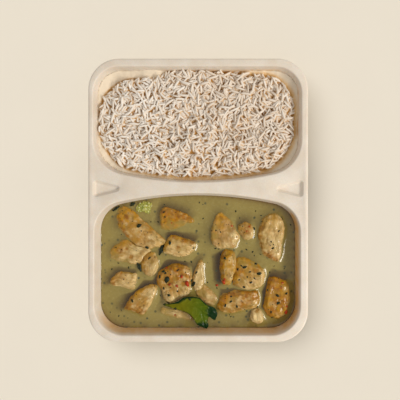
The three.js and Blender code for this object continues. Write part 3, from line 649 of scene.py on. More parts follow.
def fibre_material(tones):
    """Moulded plant fibre, hot pressed: a matt cream skin with faint mottling and short fibres."""
    look = Look("moulded_fibre", {
        "Subsurface Weight": 0.12, "Subsurface Radius": (0.002, 0.0014, 0.0009), "Subsurface Scale": 1.0,
    })
    grit = look.spread(look.noise(1.1, 4, 0.6), 0.35, 0.7)
    look.base = look.mix(look.spread(look.noise(14), 0.35, 0.65), tones.light, tones.shade)
    look.layer(look.math(grit, 0.35), tones.speck)
    ragged = look.spread(look.noise(5), 0.3, 0.7, 0.65, 1.0)
    # The oil is partly painted warm bounce light, and the splash partly painted shade and curry-coloured
    # bounce light, on the walls that face away from the key light.
    look.stain("oil", tones.oil, ragged)
    look.stain("splash", tones.splash, ragged)
    fibres = []
    for angle in (0.4, 1.5, 2.6):
        inputs = {"Vector": look.place, "Rotation": (0, 0, angle), "Scale": (1, 7, 1)}
        turned = look.node("ShaderNodeMapping", inputs).outputs["Vector"]
        fibres.append(look.noise(3.2, 2, vector=turned))
    felt = look.math(look.math(fibres[0], fibres[1], "MAXIMUM"), fibres[2], "MAXIMUM")
    look.relief(felt, 0.35, 0.12)
    look.relief(grit, 0.4, 0.05)
    return look.finished(look.spread(grit, 0, 1, 0.5, 0.68))


def stain_tray(mesh):
    """Oil that crept up the walls round the rice, and sauce left above its level; inner sides only.
    On the walls that face away from the key light both are partly painted shade and bounce light.
    """
    oil, splash = [], []
    upwards = smoothstep(normals_of(mesh)[:, 2], -0.02, 0.06)
    for x, y, z in points_of(mesh):
        if y > BRIDGE_MIDDLE:
            reach = 1.2 + 0.8 * fractal((x, y, 0), 14)
            above = z - float(rice_height(x, y))
            # Painted warm bounce light: the oil band is strongest on the shaded walls at the near right.
            share = 0.15 + 0.85 * float(oil_and_shade_side(x, y))
            share *= step(inside_heap(x, y), -9, -6)
            oil.append(share * (1 - step(above, 0.2, reach)) if 1.5 < z < OIL_TOP else 0)
            splash.append(0)
        else:
            # The right wall and the near one take the splash colour: partly sauce that washed up, partly
            # painted shade and curry-coloured bounce light on these shaded walls. Sauce also left a line
            # all along its level.
            reach = 1.4 + 1.2 * fractal((x, y, 5), 9) + (0.4 if x < -60 else 0)
            wash_and_shade = max(step(x, 45, 80), 0.8 * step(-y, 88, 107))
            wash_and_shade *= 1 - step(z, 26, SPLASH_TOP)
            wash_and_shade *= 1 - step(y, -14, -6)
            line = 1 - step(z - SAUCE_LEVEL, reach * 0.3, max(reach, 0.5))
            line *= 0.2 + 0.8 * step(x, -75, -40)
            oil.append(0)
            splash.append(max(wash_and_shade, line) if z < SPLASH_TOP else 0)
    store(mesh, "oil", upwards * oil)
    store(mesh, "splash", upwards * splash)


# ------------------------------------------------------------------ rice


RICE_TOP = RICE_WELL["far"] - wall_inset(RICE_LEVEL)
RICE_HALF = RICE_WELL["half_width"] - wall_inset(RICE_LEVEL)
RICE_ARCH = -RICE_WELL["arch"] + wall_inset(RICE_LEVEL) + RICE_GAPS["arch"]


def inside_heap(x, y):
    """How far (x, y) lies inside the round-cornered outline of the heap; outside it is negative."""
    left, mid, right = RICE_FAR_GAPS
    first, second = RICE_FAR_STEPS
    gap = left + (mid - left) * smoothstep(x, *first) + (right - mid) * smoothstep(x, *second)
    from_left = x - RICE_WELL["x"] + RICE_HALF - RICE_GAPS["left"]
    from_right = RICE_WELL["x"] + RICE_HALF - RICE_GAPS["right"] - x
    fall = (x - RICE_WELL["x"]) ** 2 / (2 * RICE_WELL["arch_radius"])
    side = np.minimum(from_left, from_right)
    end = np.minimum(RICE_TOP - gap - y, y - RICE_ARCH - fall)
    corner = RICE_CORNER - np.hypot(RICE_CORNER - side, RICE_CORNER - end)
    return np.where((side >= RICE_CORNER) | (end >= RICE_CORNER), np.minimum(side, end), corner)


def rice_height(x, y):
    """The surface of the heap: low hills that fall away at its edge, then a skirt that climbs the wall."""
    inside = inside_heap(x, y)
    hills = 0.8 * np.sin(x / 13 + 0.6) * np.cos(y / 11 + 0.3) + 0.5 * np.sin(x / 7.3 - y / 9.1)
    hills = hills + 0.4 * np.cos(y / 6 - 1)
    across, along = (x - PEAK["x"]) / PEAK["reach_x"], (y - PEAK["y"]) / PEAK["reach_y"]
    peak = PEAK["rise"] * np.exp(-across ** 2 - along ** 2)
    drop = RICE_EDGE_DROP * np.exp(-np.maximum(inside, 0) / RICE_EDGE_REACH)
    return RICE_LEVEL + hills + peak - drop - RICE_SKIRT_RISE * np.minimum(inside, 0)


def oil_and_shade_side(x, y):
    """From 0 at the far left of the rice to 1 at its near right, where the oil gathered and where the
    walls and the heap's foot face away from the key light: there its colour is partly painted warm
    bounce light.
    """
    return smoothstep(x + RICE_MIDDLE - y, -50, 50)


def rice_maps():
    """Maps of the height that the grains fill up to, and of the bare heap that they fall on."""
    counts = [int(length / HEIGHT_CELL) for length in RICE_MAP[1]]
    xs, ys = (low + (np.arange(count) + 0.5) * HEIGHT_CELL for low, count in zip(RICE_MAP[0], counts))
    grid_x, grid_y = np.meshgrid(xs, ys, indexing="ij")
    size, rise, step = RICE_LUMPS
    lumps = np.array([[fractal((x, y, 3), size, 2) for y in ys[::step]] for x in xs[::step]])
    lumps = np.kron(lumps, np.ones((step, step)))[:len(xs), :len(ys)]
    wanted = rice_height(grid_x, grid_y) + rise * lumps
    return wanted, wanted - RICE_DEPTH * smoothstep(inside_heap(grid_x, grid_y), -0.5, 2)


def cells_at(x, y):
    """The cells of the maps of the rice at points x, y."""
    return tuple(
        np.clip(np.asarray((value - low) / HEIGHT_CELL).astype(int), 0, int(length / HEIGHT_CELL) - 1)
        for value, low, length in zip((x, y), *RICE_MAP)
    )


def roomiest(draw, wanted, height):
    """Of three places drawn over the heap the one with the most room to fill, as (room, x, y)."""
    best = None
    for _ in range(3):
        x, y = (draw.uniform(*reach) for reach in RICE_REACH)
        if inside_heap(x, y) < 0.2:
            continue
        cell = cells_at(x, y)
        room = wanted[cell] - height[cell]
        if best is None or room > best[0]:
            best = (room, x, y)
    return best


def settle_grains(count, seed):
    """Drops grains one by one on the heap. Each comes to rest across the highest points under it,
    and is given as (x, y, z, turn, tilt, length, width, tone). With them comes the map of heights
    that they leave."""
    draw = random.Random(seed)
    wanted, height = rice_maps()
    shares = np.linspace(-0.5, 0.5, 9)
    grains = []
    for _ in range(count * 12):
        if len(grains) >= count:
            break
        best = roomiest(draw, wanted, height)
        if best is None or best[0] < LEAST_ROOM:
            continue
        _, x, y = best
        length, width = draw.uniform(*GRAIN_LENGTHS), draw.uniform(*GRAIN_WIDTHS)
        turn = math.pi * draw.random()
        dx, dy = math.cos(turn), math.sin(turn)
        ends = [(x + s * length * dx, y + s * length * dy) for s in (-0.5, 0.5)]
        if min(float(inside_heap(*end)) for end in ends) < (-0.8 if x < -70 else -GRAIN_OVERHANG):
            continue
        along = shares * length
        line_x, line_y = x + along * dx, y + along * dy
        under = height[cells_at(line_x, line_y)]
        first = int(np.argmax(under))
        side = -1 if along[first] > 0 else 1
        other = np.where(along * side > 0.05 * length)[0]
        slopes = (under[other] - under[first]) / (along[other] - along[first])
        tilt = slopes.max() if side > 0 else slopes.min()
        if draw.random() < FLAT_SHARE:
            tilt *= draw.uniform(-0.3, 0.4)
        tilt = max(-STEEPEST, min(STEEPEST, tilt))
        middle = under[first] - tilt * along[first] + width * GRAIN_REST
        if middle + abs(tilt) * length / 2 + width / 2 > TRAY_HEIGHT - 0.3:
            continue
        grains.append((x, y, middle, turn, math.atan(tilt), length, width, draw.random()))
        taper = 0.6 * width * np.maximum(np.abs(shares) - 0.36, 0) / 0.14 * 0.4
        for offset, rise in ((-0.5, 0.16), (0.0, 0.28), (0.5, 0.16)):
            cells = cells_at(line_x - dy * offset, line_y + dx * offset)
            height[cells] = np.maximum(height[cells], middle + tilt * along + width * rise - taper)
    return grains, height


def blurred(field, rounds):
    """A map with each cell made the mean of the nine round it, so many times."""
    for _ in range(rounds):
        padded = np.pad(field, 1, mode="edge")
        rows, columns = field.shape
        field = sum(padded[i:i + rows, j:j + columns] for i in range(3) for j in range(3)) / 9
    return field


def sampled(field, corner, cell, x, y):
    """The values of a map at points x, y, eased between the middles of its cells."""
    u = np.clip((np.asarray(x) - corner[0]) / cell, 0, field.shape[0] - 1.001)
    v = np.clip((np.asarray(y) - corner[1]) / cell, 0, field.shape[1] - 1.001)
    i, j = u.astype(int), v.astype(int)
    a, b = u - i, v - j
    low = field[i, j] * (1 - a) + field[i + 1, j] * a
    high = field[i, j + 1] * (1 - a) + field[i + 1, j + 1] * a
    return low * (1 - b) + high * b


def heap_mesh(height):
    """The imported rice: its top follows the loose grains closely from below."""
    mesh = even_copy("rice", HEAP_CELL, 1)
    points, normals = points_of(mesh), normals_of(mesh)
    x, y, z = points.T
    surface = rice_height(x, y)
    top = smoothstep(z, surface - 4, surface - 2)
    middle = [low + HEIGHT_CELL / 2 for low in RICE_MAP[0]]
    near, wide = (sampled(blurred(height, rounds), middle, HEIGHT_CELL, x, y) for rounds in (2, 12))
    relief = np.array([fractal(p, 1.8, 2) for p in points])
    # The upper part of the heap's sides is pushed out, close to the walls that it leans on.
    outwards = (1 - smoothstep(normals[:, 2], 0.4, 0.8)) * smoothstep(z, 12, 16)
    points[:, :2] += 0.75 * outwards[:, None] * normals[:, :2]
    rise = PACKED_RISE * smoothstep(inside_heap(x, y), 0, 2)
    points[:, 2] = z + top * (near + rise + 0.15 * relief - z)
    move_points(mesh, points)
    beyond = -inside_heap(x, y)
    oily = oil_and_shade_side(x, y)
    # Painted shade: the heap takes the gap colour where it lies below the grains around it.
    store(mesh, "deep", smoothstep(wide - near + 0.15 * relief, 0.0, 0.5))
    # The foot beyond the heap takes the oily colour, strongest at the near right: partly oil, partly
    # painted warm bounce light on the shaded side.
    store(mesh, "skirt", (0.25 + 0.4 * oily) * smoothstep(beyond, 0, 1))
    store(mesh, "film", smoothstep((beyond + 0.4 * relief) / (1 + 2 * oily), 0.5, 1.8))
    return mesh


def grain_mesh():
    """One cooked grain of unit length and width, slightly bent, with blunt tapered ends."""
    stations = [(-0.47, 0.42), (-0.3, 0.86), (0.0, 1.0), (0.28, 0.9), (0.46, 0.5)]
    sides = 6
    points = [(-0.5, 0.0, 0.0)]
    for along, girth in stations:
        bend = 0.14 * (1 - (2 * along) ** 2)
        for k in range(sides):
            angle = 2 * math.pi * k / sides
            points.append((along, bend + girth * 0.5 * math.cos(angle), girth * 0.3 * math.sin(angle)))
    points.append((0.5, 0.0, 0.0))
    last = len(points) - 1
    start = last - sides
    faces = [(0, 1 + k, 1 + (k + 1) % sides) for k in range(sides)]
    for low in range(1, start, sides):
        for k in range(sides):
            j = (k + 1) % sides
            faces.append((low + k, low + sides + k, low + sides + j, low + j))
    faces += [(last, start + (k + 1) % sides, start + k) for k in range(sides)]
    mesh = mesh_from("grain", points, faces, 1)
    edit(mesh, lambda bm: bmesh.ops.recalc_face_normals(bm, faces=bm.faces))
    mesh.shade_smooth()
    return mesh


def scatter_tree(name, on_faces):
    """A tree that sets copies of one small shape on stored points, or scatters them over faces."""
    tree = bpy.data.node_groups.new(name, "GeometryNodeTree")
    kinds = {
        "Geometry": "Geometry", "Shape": "Object", "Material": "Material",
        "Size": "Float", "Density": "Float", "Seed": "Int",
    }
    sockets = {}
    for socket, kind in kinds.items():
        kind = "NodeSocket" + kind
        sockets[socket] = tree.interface.new_socket(socket, in_out="INPUT", socket_type=kind).identifier
    tree.interface.new_socket("Geometry", in_out="OUTPUT", socket_type="NodeSocketGeometry")
    given = add(tree, "NodeGroupInput").outputs

    def node(kind, inputs, output=0, **settings):
        return add(tree, kind, inputs, **settings).outputs[output]

    def held(key, kind="FLOAT_VECTOR"):
        return node("GeometryNodeInputNamedAttribute", {"Name": key}, "Attribute", data_type=kind)

    if on_faces:
        inputs = {0: given["Density"], 1: held("open", "FLOAT")}
        density = node("ShaderNodeMath", inputs, operation="MULTIPLY")
        inputs = {"Mesh": given["Geometry"], "Density": density, "Seed": given["Seed"]}
        spots = add(tree, "GeometryNodeDistributePointsOnFaces", inputs).outputs
        inputs = {2: 0.0, 3: 2 * math.pi, "Seed": given["Seed"]}
        spin = node("FunctionNodeRandomValue", inputs, 1, data_type="FLOAT")
        own = node("FunctionNodeEulerToRotation", {"Euler": node("ShaderNodeCombineXYZ", {"Z": spin})})
        inputs = {"Rotation": spots["Rotation"], "Rotate By": own}
        rotation = node("FunctionNodeRotateRotation", inputs, rotation_space="LOCAL")
        inputs = {0: FLECK_SIZES[0], 1: FLECK_SIZES[1], "Seed": given["Seed"]}
        size = node("FunctionNodeRandomValue", inputs, data_type="FLOAT_VECTOR")
        points = spots["Points"]
    else:
        rotation = node("FunctionNodeEulerToRotation", {"Euler": held("turn")})
        size = held("size")
        points = given["Geometry"]
    copies = node("GeometryNodeInstanceOnPoints", {
        "Points": points,
        "Instance": node("GeometryNodeObjectInfo", {"Object": given["Shape"]}, "Geometry"),
        "Rotation": rotation,
        "Scale": node("ShaderNodeVectorMath", {0: size, "Scale": given["Size"]}, operation="SCALE"),
    })
    real = node("GeometryNodeRealizeInstances", {"Geometry": copies})
    finish = node("GeometryNodeSetMaterial", {"Geometry": real, "Material": given["Material"]})
    add(tree, "NodeGroupOutput", {"Geometry": finish})
    return tree, sockets


def scatter(carrier, shape, material, size, density=0.0, seed=0, on_faces=True):
    """The copies of shape that a scatter tree sets on a carrier mesh, as a plain mesh."""
    tree, sockets = scatter_tree("scatter_" + shape.name, on_faces)
    holder, small = in_scene("scatter_holder", carrier), in_scene("scatter_shape", shape)
    modifier = holder.modifiers.new("scatter", "NODES")
    modifier.node_group = tree
    values = {"Shape": small, "Material": material, "Size": size, "Density": density, "Seed": seed}
    for name, value in values.items():
        modifier[sockets[name]] = value
    mesh = bake_modifiers(holder)
    bpy.data.objects.remove(small)
    return mesh


def grain_material(tones):
    """Steamed long-grain rice: whitish, plump, with a moist low gloss."""
    look = Look("steamed_rice", {"Specular IOR Level": 0.15})
    look.base = look.mix(look.stored("tone"), tones.white, tones.ivory)
    # Painted shade: each grain's sides take some of the packed colour, and grains that lie low the gap
    # colour.
    look.stain("side", tones.packed, 0.4)
    look.stain("deep", tones.gap)
    look.relief(look.noise(0.7), 0.2, 0.05)
    return look.finished(look.spread(look.noise(2), 0.3, 0.7, 0.4, 0.58))


def heap_material(tones):
    """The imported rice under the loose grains: the same starch, darker where light hardly reaches."""
    look = Look("packed_rice", {"Roughness": 0.6, "Specular IOR Level": 0.15})
    cloud = look.spread(look.noise(1.6, 4), 0.35, 0.65)
    look.base = look.mix(cloud, tones.ivory, tones.packed)
    look.stain("deep", tones.gap)
    # The oily skirt is partly painted warm bounce light at the shaded near right.
    look.stain("skirt", tones.oily)
    look.stain("film", tones.starch)
    look.relief(cloud, 0.25, 0.1)
    return look.finished()


# ------------------------------------------------------------------ meat and vegetable


def even_copy(node, voxel, rounds):
    """A closed, even mesh of a CAD node, its facets smoothed."""
    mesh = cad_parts[node].data.copy()
    edit(mesh, lambda bm: bmesh.ops.remove_doubles(bm, verts=bm.verts, dist=1e-6))
    for attribute in [a for a in mesh.attributes if not a.is_required and not a.is_internal]:
        mesh.attributes.remove(attribute)
    piece = in_scene(node + "_rough", mesh)
    remesh = piece.modifiers.new("even", "REMESH")
    remesh.mode = "VOXEL"
    remesh.voxel_size = voxel * MM
    soften = piece.modifiers.new("soften", "SMOOTH")
    soften.factor = 0.5
    soften.iterations = rounds
    return bake_modifiers(piece)


def spot_mask(points, spots, ragged):
    """How much each point lies in one of the spots, with ragged edges."""
    mask = np.zeros(len(points))
    for x, y, radius in spots:
        distance = np.hypot(points[:, 0] - x, points[:, 1] - y) + ragged * radius * 0.5
        mask = np.maximum(mask, 1 - smoothstep(distance, 0.55 * radius, 1.35 * radius))
    return mask


def away_from_key(x, y):
    """How far a direction or a place lies towards the far left, away from the key light: the side that is
    given painted shade.
    """
    return 0.75 * y - 0.65 * x


def shape_meat(node, traits, seed):
    """Turns the even copy of a chunk into torn, fibrous meat, and stores its tones, with painted shade on
    its side away from the key light and painted light on the side towards it.
    """
    mesh = even_copy(node, MEAT_CELL, 3)
    points, normals = points_of(mesh), normals_of(mesh)
    turn = math.radians(traits["grain"])
    along = points[:, 0] * math.cos(turn) + points[:, 1] * math.sin(turn)
    across = points[:, 1] * math.cos(turn) - points[:, 0] * math.sin(turn)
    shift = 31.7 * seed
    # Broad lumps, creases and fibres that run along the grain, a fine tear, and clouds of colour.
    lumps, creases, fibres, ragged, clouds = (np.zeros(len(points)) for _ in range(5))
    for i, (a, c, z) in enumerate(zip(along, across, points[:, 2])):
        here = (a + shift, c, z)
        warp = fractal(here, 5.0, 2)
        lumps[i] = fractal((a * 0.7 + shift, c, z), 6.0, 2)
        creases[i] = abs(fractal((a * 0.4 + shift, c + 1.2 * warp, z * 1.2), 6.0, 2))
        fibres[i] = fractal((a * 0.2 + shift, c + 0.8 * warp, z), 1.3, 2)
        ragged[i] = fractal(here, 2.6, 3)
        clouds[i] = fractal(here, 9.0, 3)
    crease = 1 - smoothstep(creases, 0.0, 0.09)
    push = 0.75 * lumps - 0.2 * crease + 0.16 * fibres + 0.1 * ragged
    below = smoothstep(points[:, 2], SAUCE_LEVEL - 4, SAUCE_LEVEL)
    move_points(mesh, points + normals * (push * (0.3 + 0.7 * below) + 0.1)[:, None])
    points = points_of(mesh)
    steep = 1 - smoothstep(normals[:, 2] + 0.15 * ragged, 0.45, 0.85)
    hollow = smoothstep(-lumps - 0.4 * ragged, 0.1, 0.6)
    film = 1 - smoothstep(points[:, 2] + 0.8 * ragged, SAUCE_LEVEL + 0.6, SAUCE_LEVEL + 2.6)
    film = np.maximum(film, 0.85 * spot_mask(points, traits["film_spots"], ragged))
    # Painted shade and light: parts facing or lying away from the key light are made more golden and
    # browned, parts towards it (plain) paler.
    middle = points.mean(0)
    from_middle = away_from_key(points[:, 0] - middle[0], points[:, 1] - middle[1])
    far_side = away_from_key(normals[:, 0], normals[:, 1]) + 0.25 * ragged
    far_side = far_side + 0.45 * from_middle / np.abs(from_middle).max()
    shaded_part, plain = smoothstep(far_side, 0.05, 0.6), smoothstep(-far_side, 0.15, 0.65)
    # Brown spots are partly real browning and partly painted shade; pale spots are painted light on faces
    # turned to the key light.
    brown_and_shade_spots = spot_mask(points, traits["brown_and_shade_spots"], ragged)
    painted_light_spots = spot_mask(points, traits["painted_light_spots"], ragged)
    tones = {
        "gold": traits["gold"] * (0.3 + 0.1 * steep + 0.8 * shaded_part + 0.5 * clouds) + 0.22 * shaded_part,
        "browned": traits["browned"] * (0.7 + 0.9 * clouds + 0.5 * shaded_part - 0.5 * plain) + 0.9 * brown_and_shade_spots,
        "pale": traits["pale"] * (1 + 1.2 * ragged) + 0.4 * np.maximum(lumps, 0)
        + 0.55 * plain - 0.3 * shaded_part + 0.8 * painted_light_spots,
        "pink": traits["pink"] * (1 - 0.7 * steep) * (1 + 0.7 * clouds),
        "film": np.maximum(film, 0.3 * hollow),
        "crease": crease,
        "open": smoothstep(normals[:, 2], 0.2, 0.7) * (1 - film),
    }
    for name, share in tones.items():
        store(mesh, name, np.clip(share, 0, 1))
    store(mesh, "fibre", np.stack([along + shift, across, points[:, 2]], 1) * MM, "FLOAT_VECTOR")
    return mesh


def meat_material(name, tones):
    """Poached meat: fibrous, cream to pinkish beige, golden at its edges, wet with thin sauce."""
    look = Look(name, {
        "Specular IOR Level": 0.1, "Coat Roughness": 0.08, "Coat IOR": 1.4,
        "Subsurface Weight": 0.1, "Subsurface Radius": (0.0014, 0.0008, 0.0004),
    }, vector="fibre")
    stretched = look.node("ShaderNodeMapping", {"Vector": look.place, "Scale": (0.16, 1, 1)})
    strands = look.noise(0.9, vector=stretched.outputs["Vector"])
    blotch, mottle = look.noise(3.6, 2), look.noise(4.2, 2)
    char = look.mix(look.spread(look.noise(2.4, 4), 0.4, 0.7), tones.browned, tones.char)
    unstained = look.spread(look.stored("gold"), 0.3, 1.0, 1.0, 0.2)
    look.base = look.mix(look.spread(blotch, 0.35, 0.65), tones.flesh, tones.flesh_dark)
    look.stain("pink", tones.pink)
    # The pale, gold and browned tones carry painted light and shade from shape_meat as well as the meat's
    # own colour.
    look.stain("pale", tones.cream, look.patches(strands, 0.45))
    look.stain("gold", tones.gold, look.patches(look.noise(3.4), 0.6))
    look.stain("browned", char, look.patches(look.noise(3.0), 0.45))
    # Painted shade in the creases.
    look.stain("crease", tones.crease, 0.45)
    look.layer(look.spread(look.noise(5.0), 0.45, 0.65, 0, 0.35), tones.film)
    look.layer(look.spread(mottle, 0.52, 0.7, 0, 0.28), tones.crease)
    look.layer(look.math(look.spread(mottle, 0.48, 0.3, 0, 0.55), unstained), tones.cream)
    look.stain("film", tones.film, 0.8)
    look.feed("Coat Weight", look.spread(look.noise(3.0, 2), 0.44, 0.56, 0.1, 1.0))
    look.relief(blotch, 0.4, 0.25, ("Normal", "Coat Normal"))
    look.relief(strands, 0.35, 0.08)
    return look.finished(look.spread(blotch, 0.3, 0.7, 0.34, 0.5))


def shape_vegetable():
    """A soft floret: rounded beads crowded over the smoothed chunk."""
    mesh = even_copy("green_vegetable", FLORET_CELL, 4)
    points, normals = points_of(mesh), normals_of(mesh)
    beads, ragged = np.zeros(len(points)), np.zeros(len(points))
    for i, p in enumerate(points):
        distances, _ = noise.voronoi(Vector(p) / 2.1)
        beads[i] = distances[1] - distances[0]
        ragged[i] = fractal(p, 3.0, 3)
    push = 0.7 * smoothstep(beads, 0, 0.5) - 0.1 + 0.5 * ragged
    above = smoothstep(points[:, 2], SAUCE_LEVEL - 2, SAUCE_LEVEL + 0.5)
    move_points(mesh, points + normals * (push * above)[:, None])
    height = points_of(mesh)[:, 2] + 0.8 * ragged
    store(mesh, "film", 1 - smoothstep(height, SAUCE_LEVEL + 0.2, SAUCE_LEVEL + 1.6))
    return mesh


def vegetable_material(tones):
    """A boiled green floret: yellow-green and moist, with pale tips."""
    look = Look("boiled_greens", {
        "Roughness": 0.35, "Subsurface Weight": 0.25, "Subsurface Radius": (0.0012, 0.0018, 0.0006),
        "Coat Weight": 0.25, "Coat Roughness": 0.15,
    })
    look.base = look.mix(look.spread(look.noise(3.5, 4), 0.35, 0.65), tones.stem, tones.stem_pale)
    look.layer(look.spread(look.noise(1.5), 0.58, 0.66), tones.stem_tip)
    look.stain("film", tones.film)
    look.relief(look.noise(0.9), 0.5, 0.25)
    return look.finished()


# ------------------------------------------------------------------ leaves and bits


def along_path(path, t):
    """A point and the direction of a smooth line through the path, at a share t of it."""
    place = t * (len(path) - 1)
    start = min(int(place), len(path) - 2)
    u = place - start
    known = [Vector(p) for p in path]
    p1, p2 = known[start], known[start + 1]
    p0 = known[start - 1] if start > 0 else p1 * 2 - p2
    p3 = known[start + 2] if start + 2 < len(path) else p2 * 2 - p1
    a, b, c = (p2 - p0) * 0.5, p0 - p1 * 2.5 + p2 * 2 - p3 * 0.5, (p3 - p0) * 0.5 + (p1 - p2) * 1.5
    return p1 + a * u + b * u * u + c * u ** 3, (a + b * 2 * u + c * 3 * u * u).normalized()


def blade_faces(blade, seed):
    """The upper and the lower face of a leaf blade, as rows of points across it."""
    upper, lower = [], []
    for i in range(blade["stations"] + 1):
        t = i / blade["stations"]
        centre, forward = along_path(blade["path"], t)
        side = Vector((forward.y, -forward.x, 0)).normalized()
        for j in range(blade["columns"] + 1):
            share = 2 * j / blade["columns"] - 1
            edge = abs(share)
            reach = eased(blade["left"] if share < 0 else blade["right"], t)
            reach *= 1 + blade["ragged"] * fractal((t * 40, 5 if share < 0 else 9, seed), 1.9, 3) * edge
            fold = share ** 2 * blade["curl"] * (1 if share < 0 else 0.5)
            ripple = blade["wave"] * math.sin(t * 17 - share * 2) * edge
            crinkle = 0.3 * fractal((t * 30, share * 6, seed), 2.4, 3) * min(edge * 3, 1)
            vein = math.cos(2 * math.pi * (t * 8 - edge * 1.3)) ** 12 * edge * (1 - edge)
            lift = 0.32 * vein - 0.28 * math.exp(-(share / 0.09) ** 2) + crinkle
            place = centre + side * share * reach + UP * (ripple - fold + lift)
            thin = UP * (LEAF_THICKNESS / 2 * (1 - 0.75 * edge ** 8))
            upper.append(place + thin)
            lower.append(place - thin)
    return upper, lower


def scrap_mesh(name, blade):
    """A thin wavy scrap of leaf, with both faces and a closed edge."""
    upper, lower = blade_faces(blade, len(name))
    rows, columns, under = blade["stations"], blade["columns"], len(upper)
    wide = columns + 1
    faces = []
    for row in range(rows):
        for column in range(columns):
            a = row * wide + column
            b, c, d = a + 1, a + wide, a + wide + 1
            faces += [(a, b, d, c), (under + a, under + c, under + d, under + b)]
    edge = list(range(columns)) + [row * wide + columns for row in range(rows)]
    edge += [rows * wide + column for column in range(columns, 0, -1)]
    edge += [row * wide for row in range(rows, 0, -1)]
    for point, near in zip(edge, edge[1:] + edge[:1]):
        faces.append((point, under + point, under + near, near))
    return mesh_from(name, upper + lower, faces)


def smooth_loop(points, steps):
    """A closed smooth line through the points, with steps points to each of its spans."""
    known = [np.array(p, float) for p in points]
    line = []
    for i, p1 in enumerate(known):
        p0, p2, p3 = known[i - 1], known[(i + 1) % len(known)], known[(i + 2) % len(known)]
        for k in range(steps):
            u = k / steps
            line.append(0.5 * (2 * p1 + (p2 - p0) * u + (2 * p0 - 5 * p1 + 4 * p2 - p3) * u ** 2
                               + (3 * p1 - p0 - 3 * p2 + p3) * u ** 3))
    return line


def place_on_line(line, x, y):
    """How far along a line of points the point nearest to (x, y) lies, and how far from it."""
    best, passed = (0.0, 1e9), 0.0
    for (ax, ay), (bx, by) in zip(line, line[1:]):
        length = math.hypot(bx - ax, by - ay)
        share = min(max(((x - ax) * (bx - ax) + (y - ay) * (by - ay)) / length ** 2, 0), 1)
        distance = math.hypot(x - ax - share * (bx - ax), y - ay - share * (by - ay))
        if distance < best[1]:
            best = (passed + share * length, distance)
        passed += length
    return best


def leaf_mesh():
    """The large leaf: rings that widen to its ragged edge below and narrow again above."""
    (mx, my), (px, py, pz) = LEAF["middle"], LEAF["peak"]
    edge = smooth_loop(LEAF["edge"], 6)
    shares = list(np.linspace(0, 1, 30)[1:])
    points, faces, dark, vein = [], [], [], []
    for side, share in [(-1, s) for s in [0.0] + shares] + [(1, s) for s in shares[::-1]]:
        for ex, ey in edge if share else [(mx, my)]:
            tear = share * (1 - 0.035 * share * (0.5 + fractal((ex, ey, 3), 1.6, 2)))
            x, y = mx + (ex - mx) * tear, my + (ey - my) * tear
            along, off = place_on_line(LEAF["midrib"], x, y)
            turn = (along - 0.9 * off) * 2 * math.pi / VEIN_SPACING
            rib = max(math.sin(turn), 0) ** 6 * step(off, 0.3, 2)
            groove = math.exp(-(off / 0.8) ** 2)
            wave = LEAF["ripple"] * share * math.sin(x / 3.1 + y / 4.3)
            crinkle = 0.35 * fractal((x, y, 1), 3.4, 3)
            fall = LEAF["droop"] * ((x - px) ** 2 + (y - py) ** 2)
            thin = LEAF_THICKNESS / 2 * (1 - 0.7 * share ** 12)
            points.append((x, y, pz - fall + wave + crinkle + 0.25 * rib - 0.3 * groove + side * thin))
            vein.append(rib)
            tip = max(step(x, 3, 12), step(-y, 98, 104))
            far_edge = step(share, 0.72, 0.98) * step(y, -92, -84)
            dark.append(max(tip, far_edge, step(share, 0.9, 1) * 0.7))
    points.append(tuple(np.array(points[0]) + (0, 0, LEAF_THICKNESS)))
    last, count = len(points) - 1, len(edge)
    rings = range(1, last, count)
    for k in range(count):
        j = (k + 1) % count
        faces += [(0, 1 + j, 1 + k), (last, rings[-1] + k, rings[-1] + j)]
        faces += [(low + k, low + j, high + j, high + k) for low, high in zip(rings, rings[1:])]
    mesh = mesh_from("leaf", points, faces)
    store(mesh, "dark", dark + dark[:1])
    store(mesh, "vein", vein + vein[:1])
    return mesh


def leaf_material(tones):
    """A blanched basil-like leaf: olive by the stalk, deep green at its edges, wet and glossy."""
    look = Look("blanched_leaf", {
        "Roughness": 0.45, "Specular IOR Level": 0.08, "Coat Weight": 0.12, "Coat Roughness": 0.1,
    })
    across = look.node("ShaderNodeSeparateXYZ", {"Vector": look.place}).outputs["X"]
    look.base = look.mix(look.spread(across, -16 * MM, 3 * MM), tones.leaf_olive, tones.leaf_green)
    look.stain("vein", tones.leaf_vein, 0.45)
    ragged = look.spread(look.noise(3.0, 4, 0.6), 0.3, 0.7, -0.3, 0.3)
    look.layer(look.spread(look.math(look.stored("dark"), ragged, "ADD"), 0.25, 0.8), tones.leaf_dark)
    look.relief(look.noise(1.1), 0.5, 0.2)
    return look.finished()


def bit_material(name, first, second, size, roughness, gloss):
    """A small wet bit of two mottled tones."""
    look = Look(name, {
        "Roughness": roughness, "Specular IOR Level": 0.2, "Coat Weight": gloss, "Coat Roughness": 0.2,
    })
    cloud = look.spread(look.noise(size), 0.38, 0.62)
    look.base = look.mix(cloud, first, second)
    look.relief(cloud, 0.4, 0.1)
    return look.finished()


def flake_mesh(name, draw, sides=7):
    """An irregular flake of unit size, cupped, with a closed edge."""
    turns = sorted((k + draw.uniform(-0.3, 0.3)) * 2 * math.pi / sides for k in range(sides))
    reach = [draw.uniform(0.36, 0.6) for _ in turns]
    narrow = draw.uniform(0.5, 0.8)
    rim = [(r * math.cos(a), narrow * r * math.sin(a)) for a, r in zip(turns, reach)]
    top = [(x, y, 0.06 + 0.12 * (x * x - y * y)) for x, y in rim] + [(0, 0, 0.11)]
    low = [(x, y, z - 0.09) for x, y, z in top]
    under = sides + 1
    faces = []
    for k in range(sides):
        j = (k + 1) % sides
        faces += [(k, j, sides), (under + j, under + k, under + sides), (k, under + k, under + j, j)]
    return mesh_from(name, top + low, faces, 1)


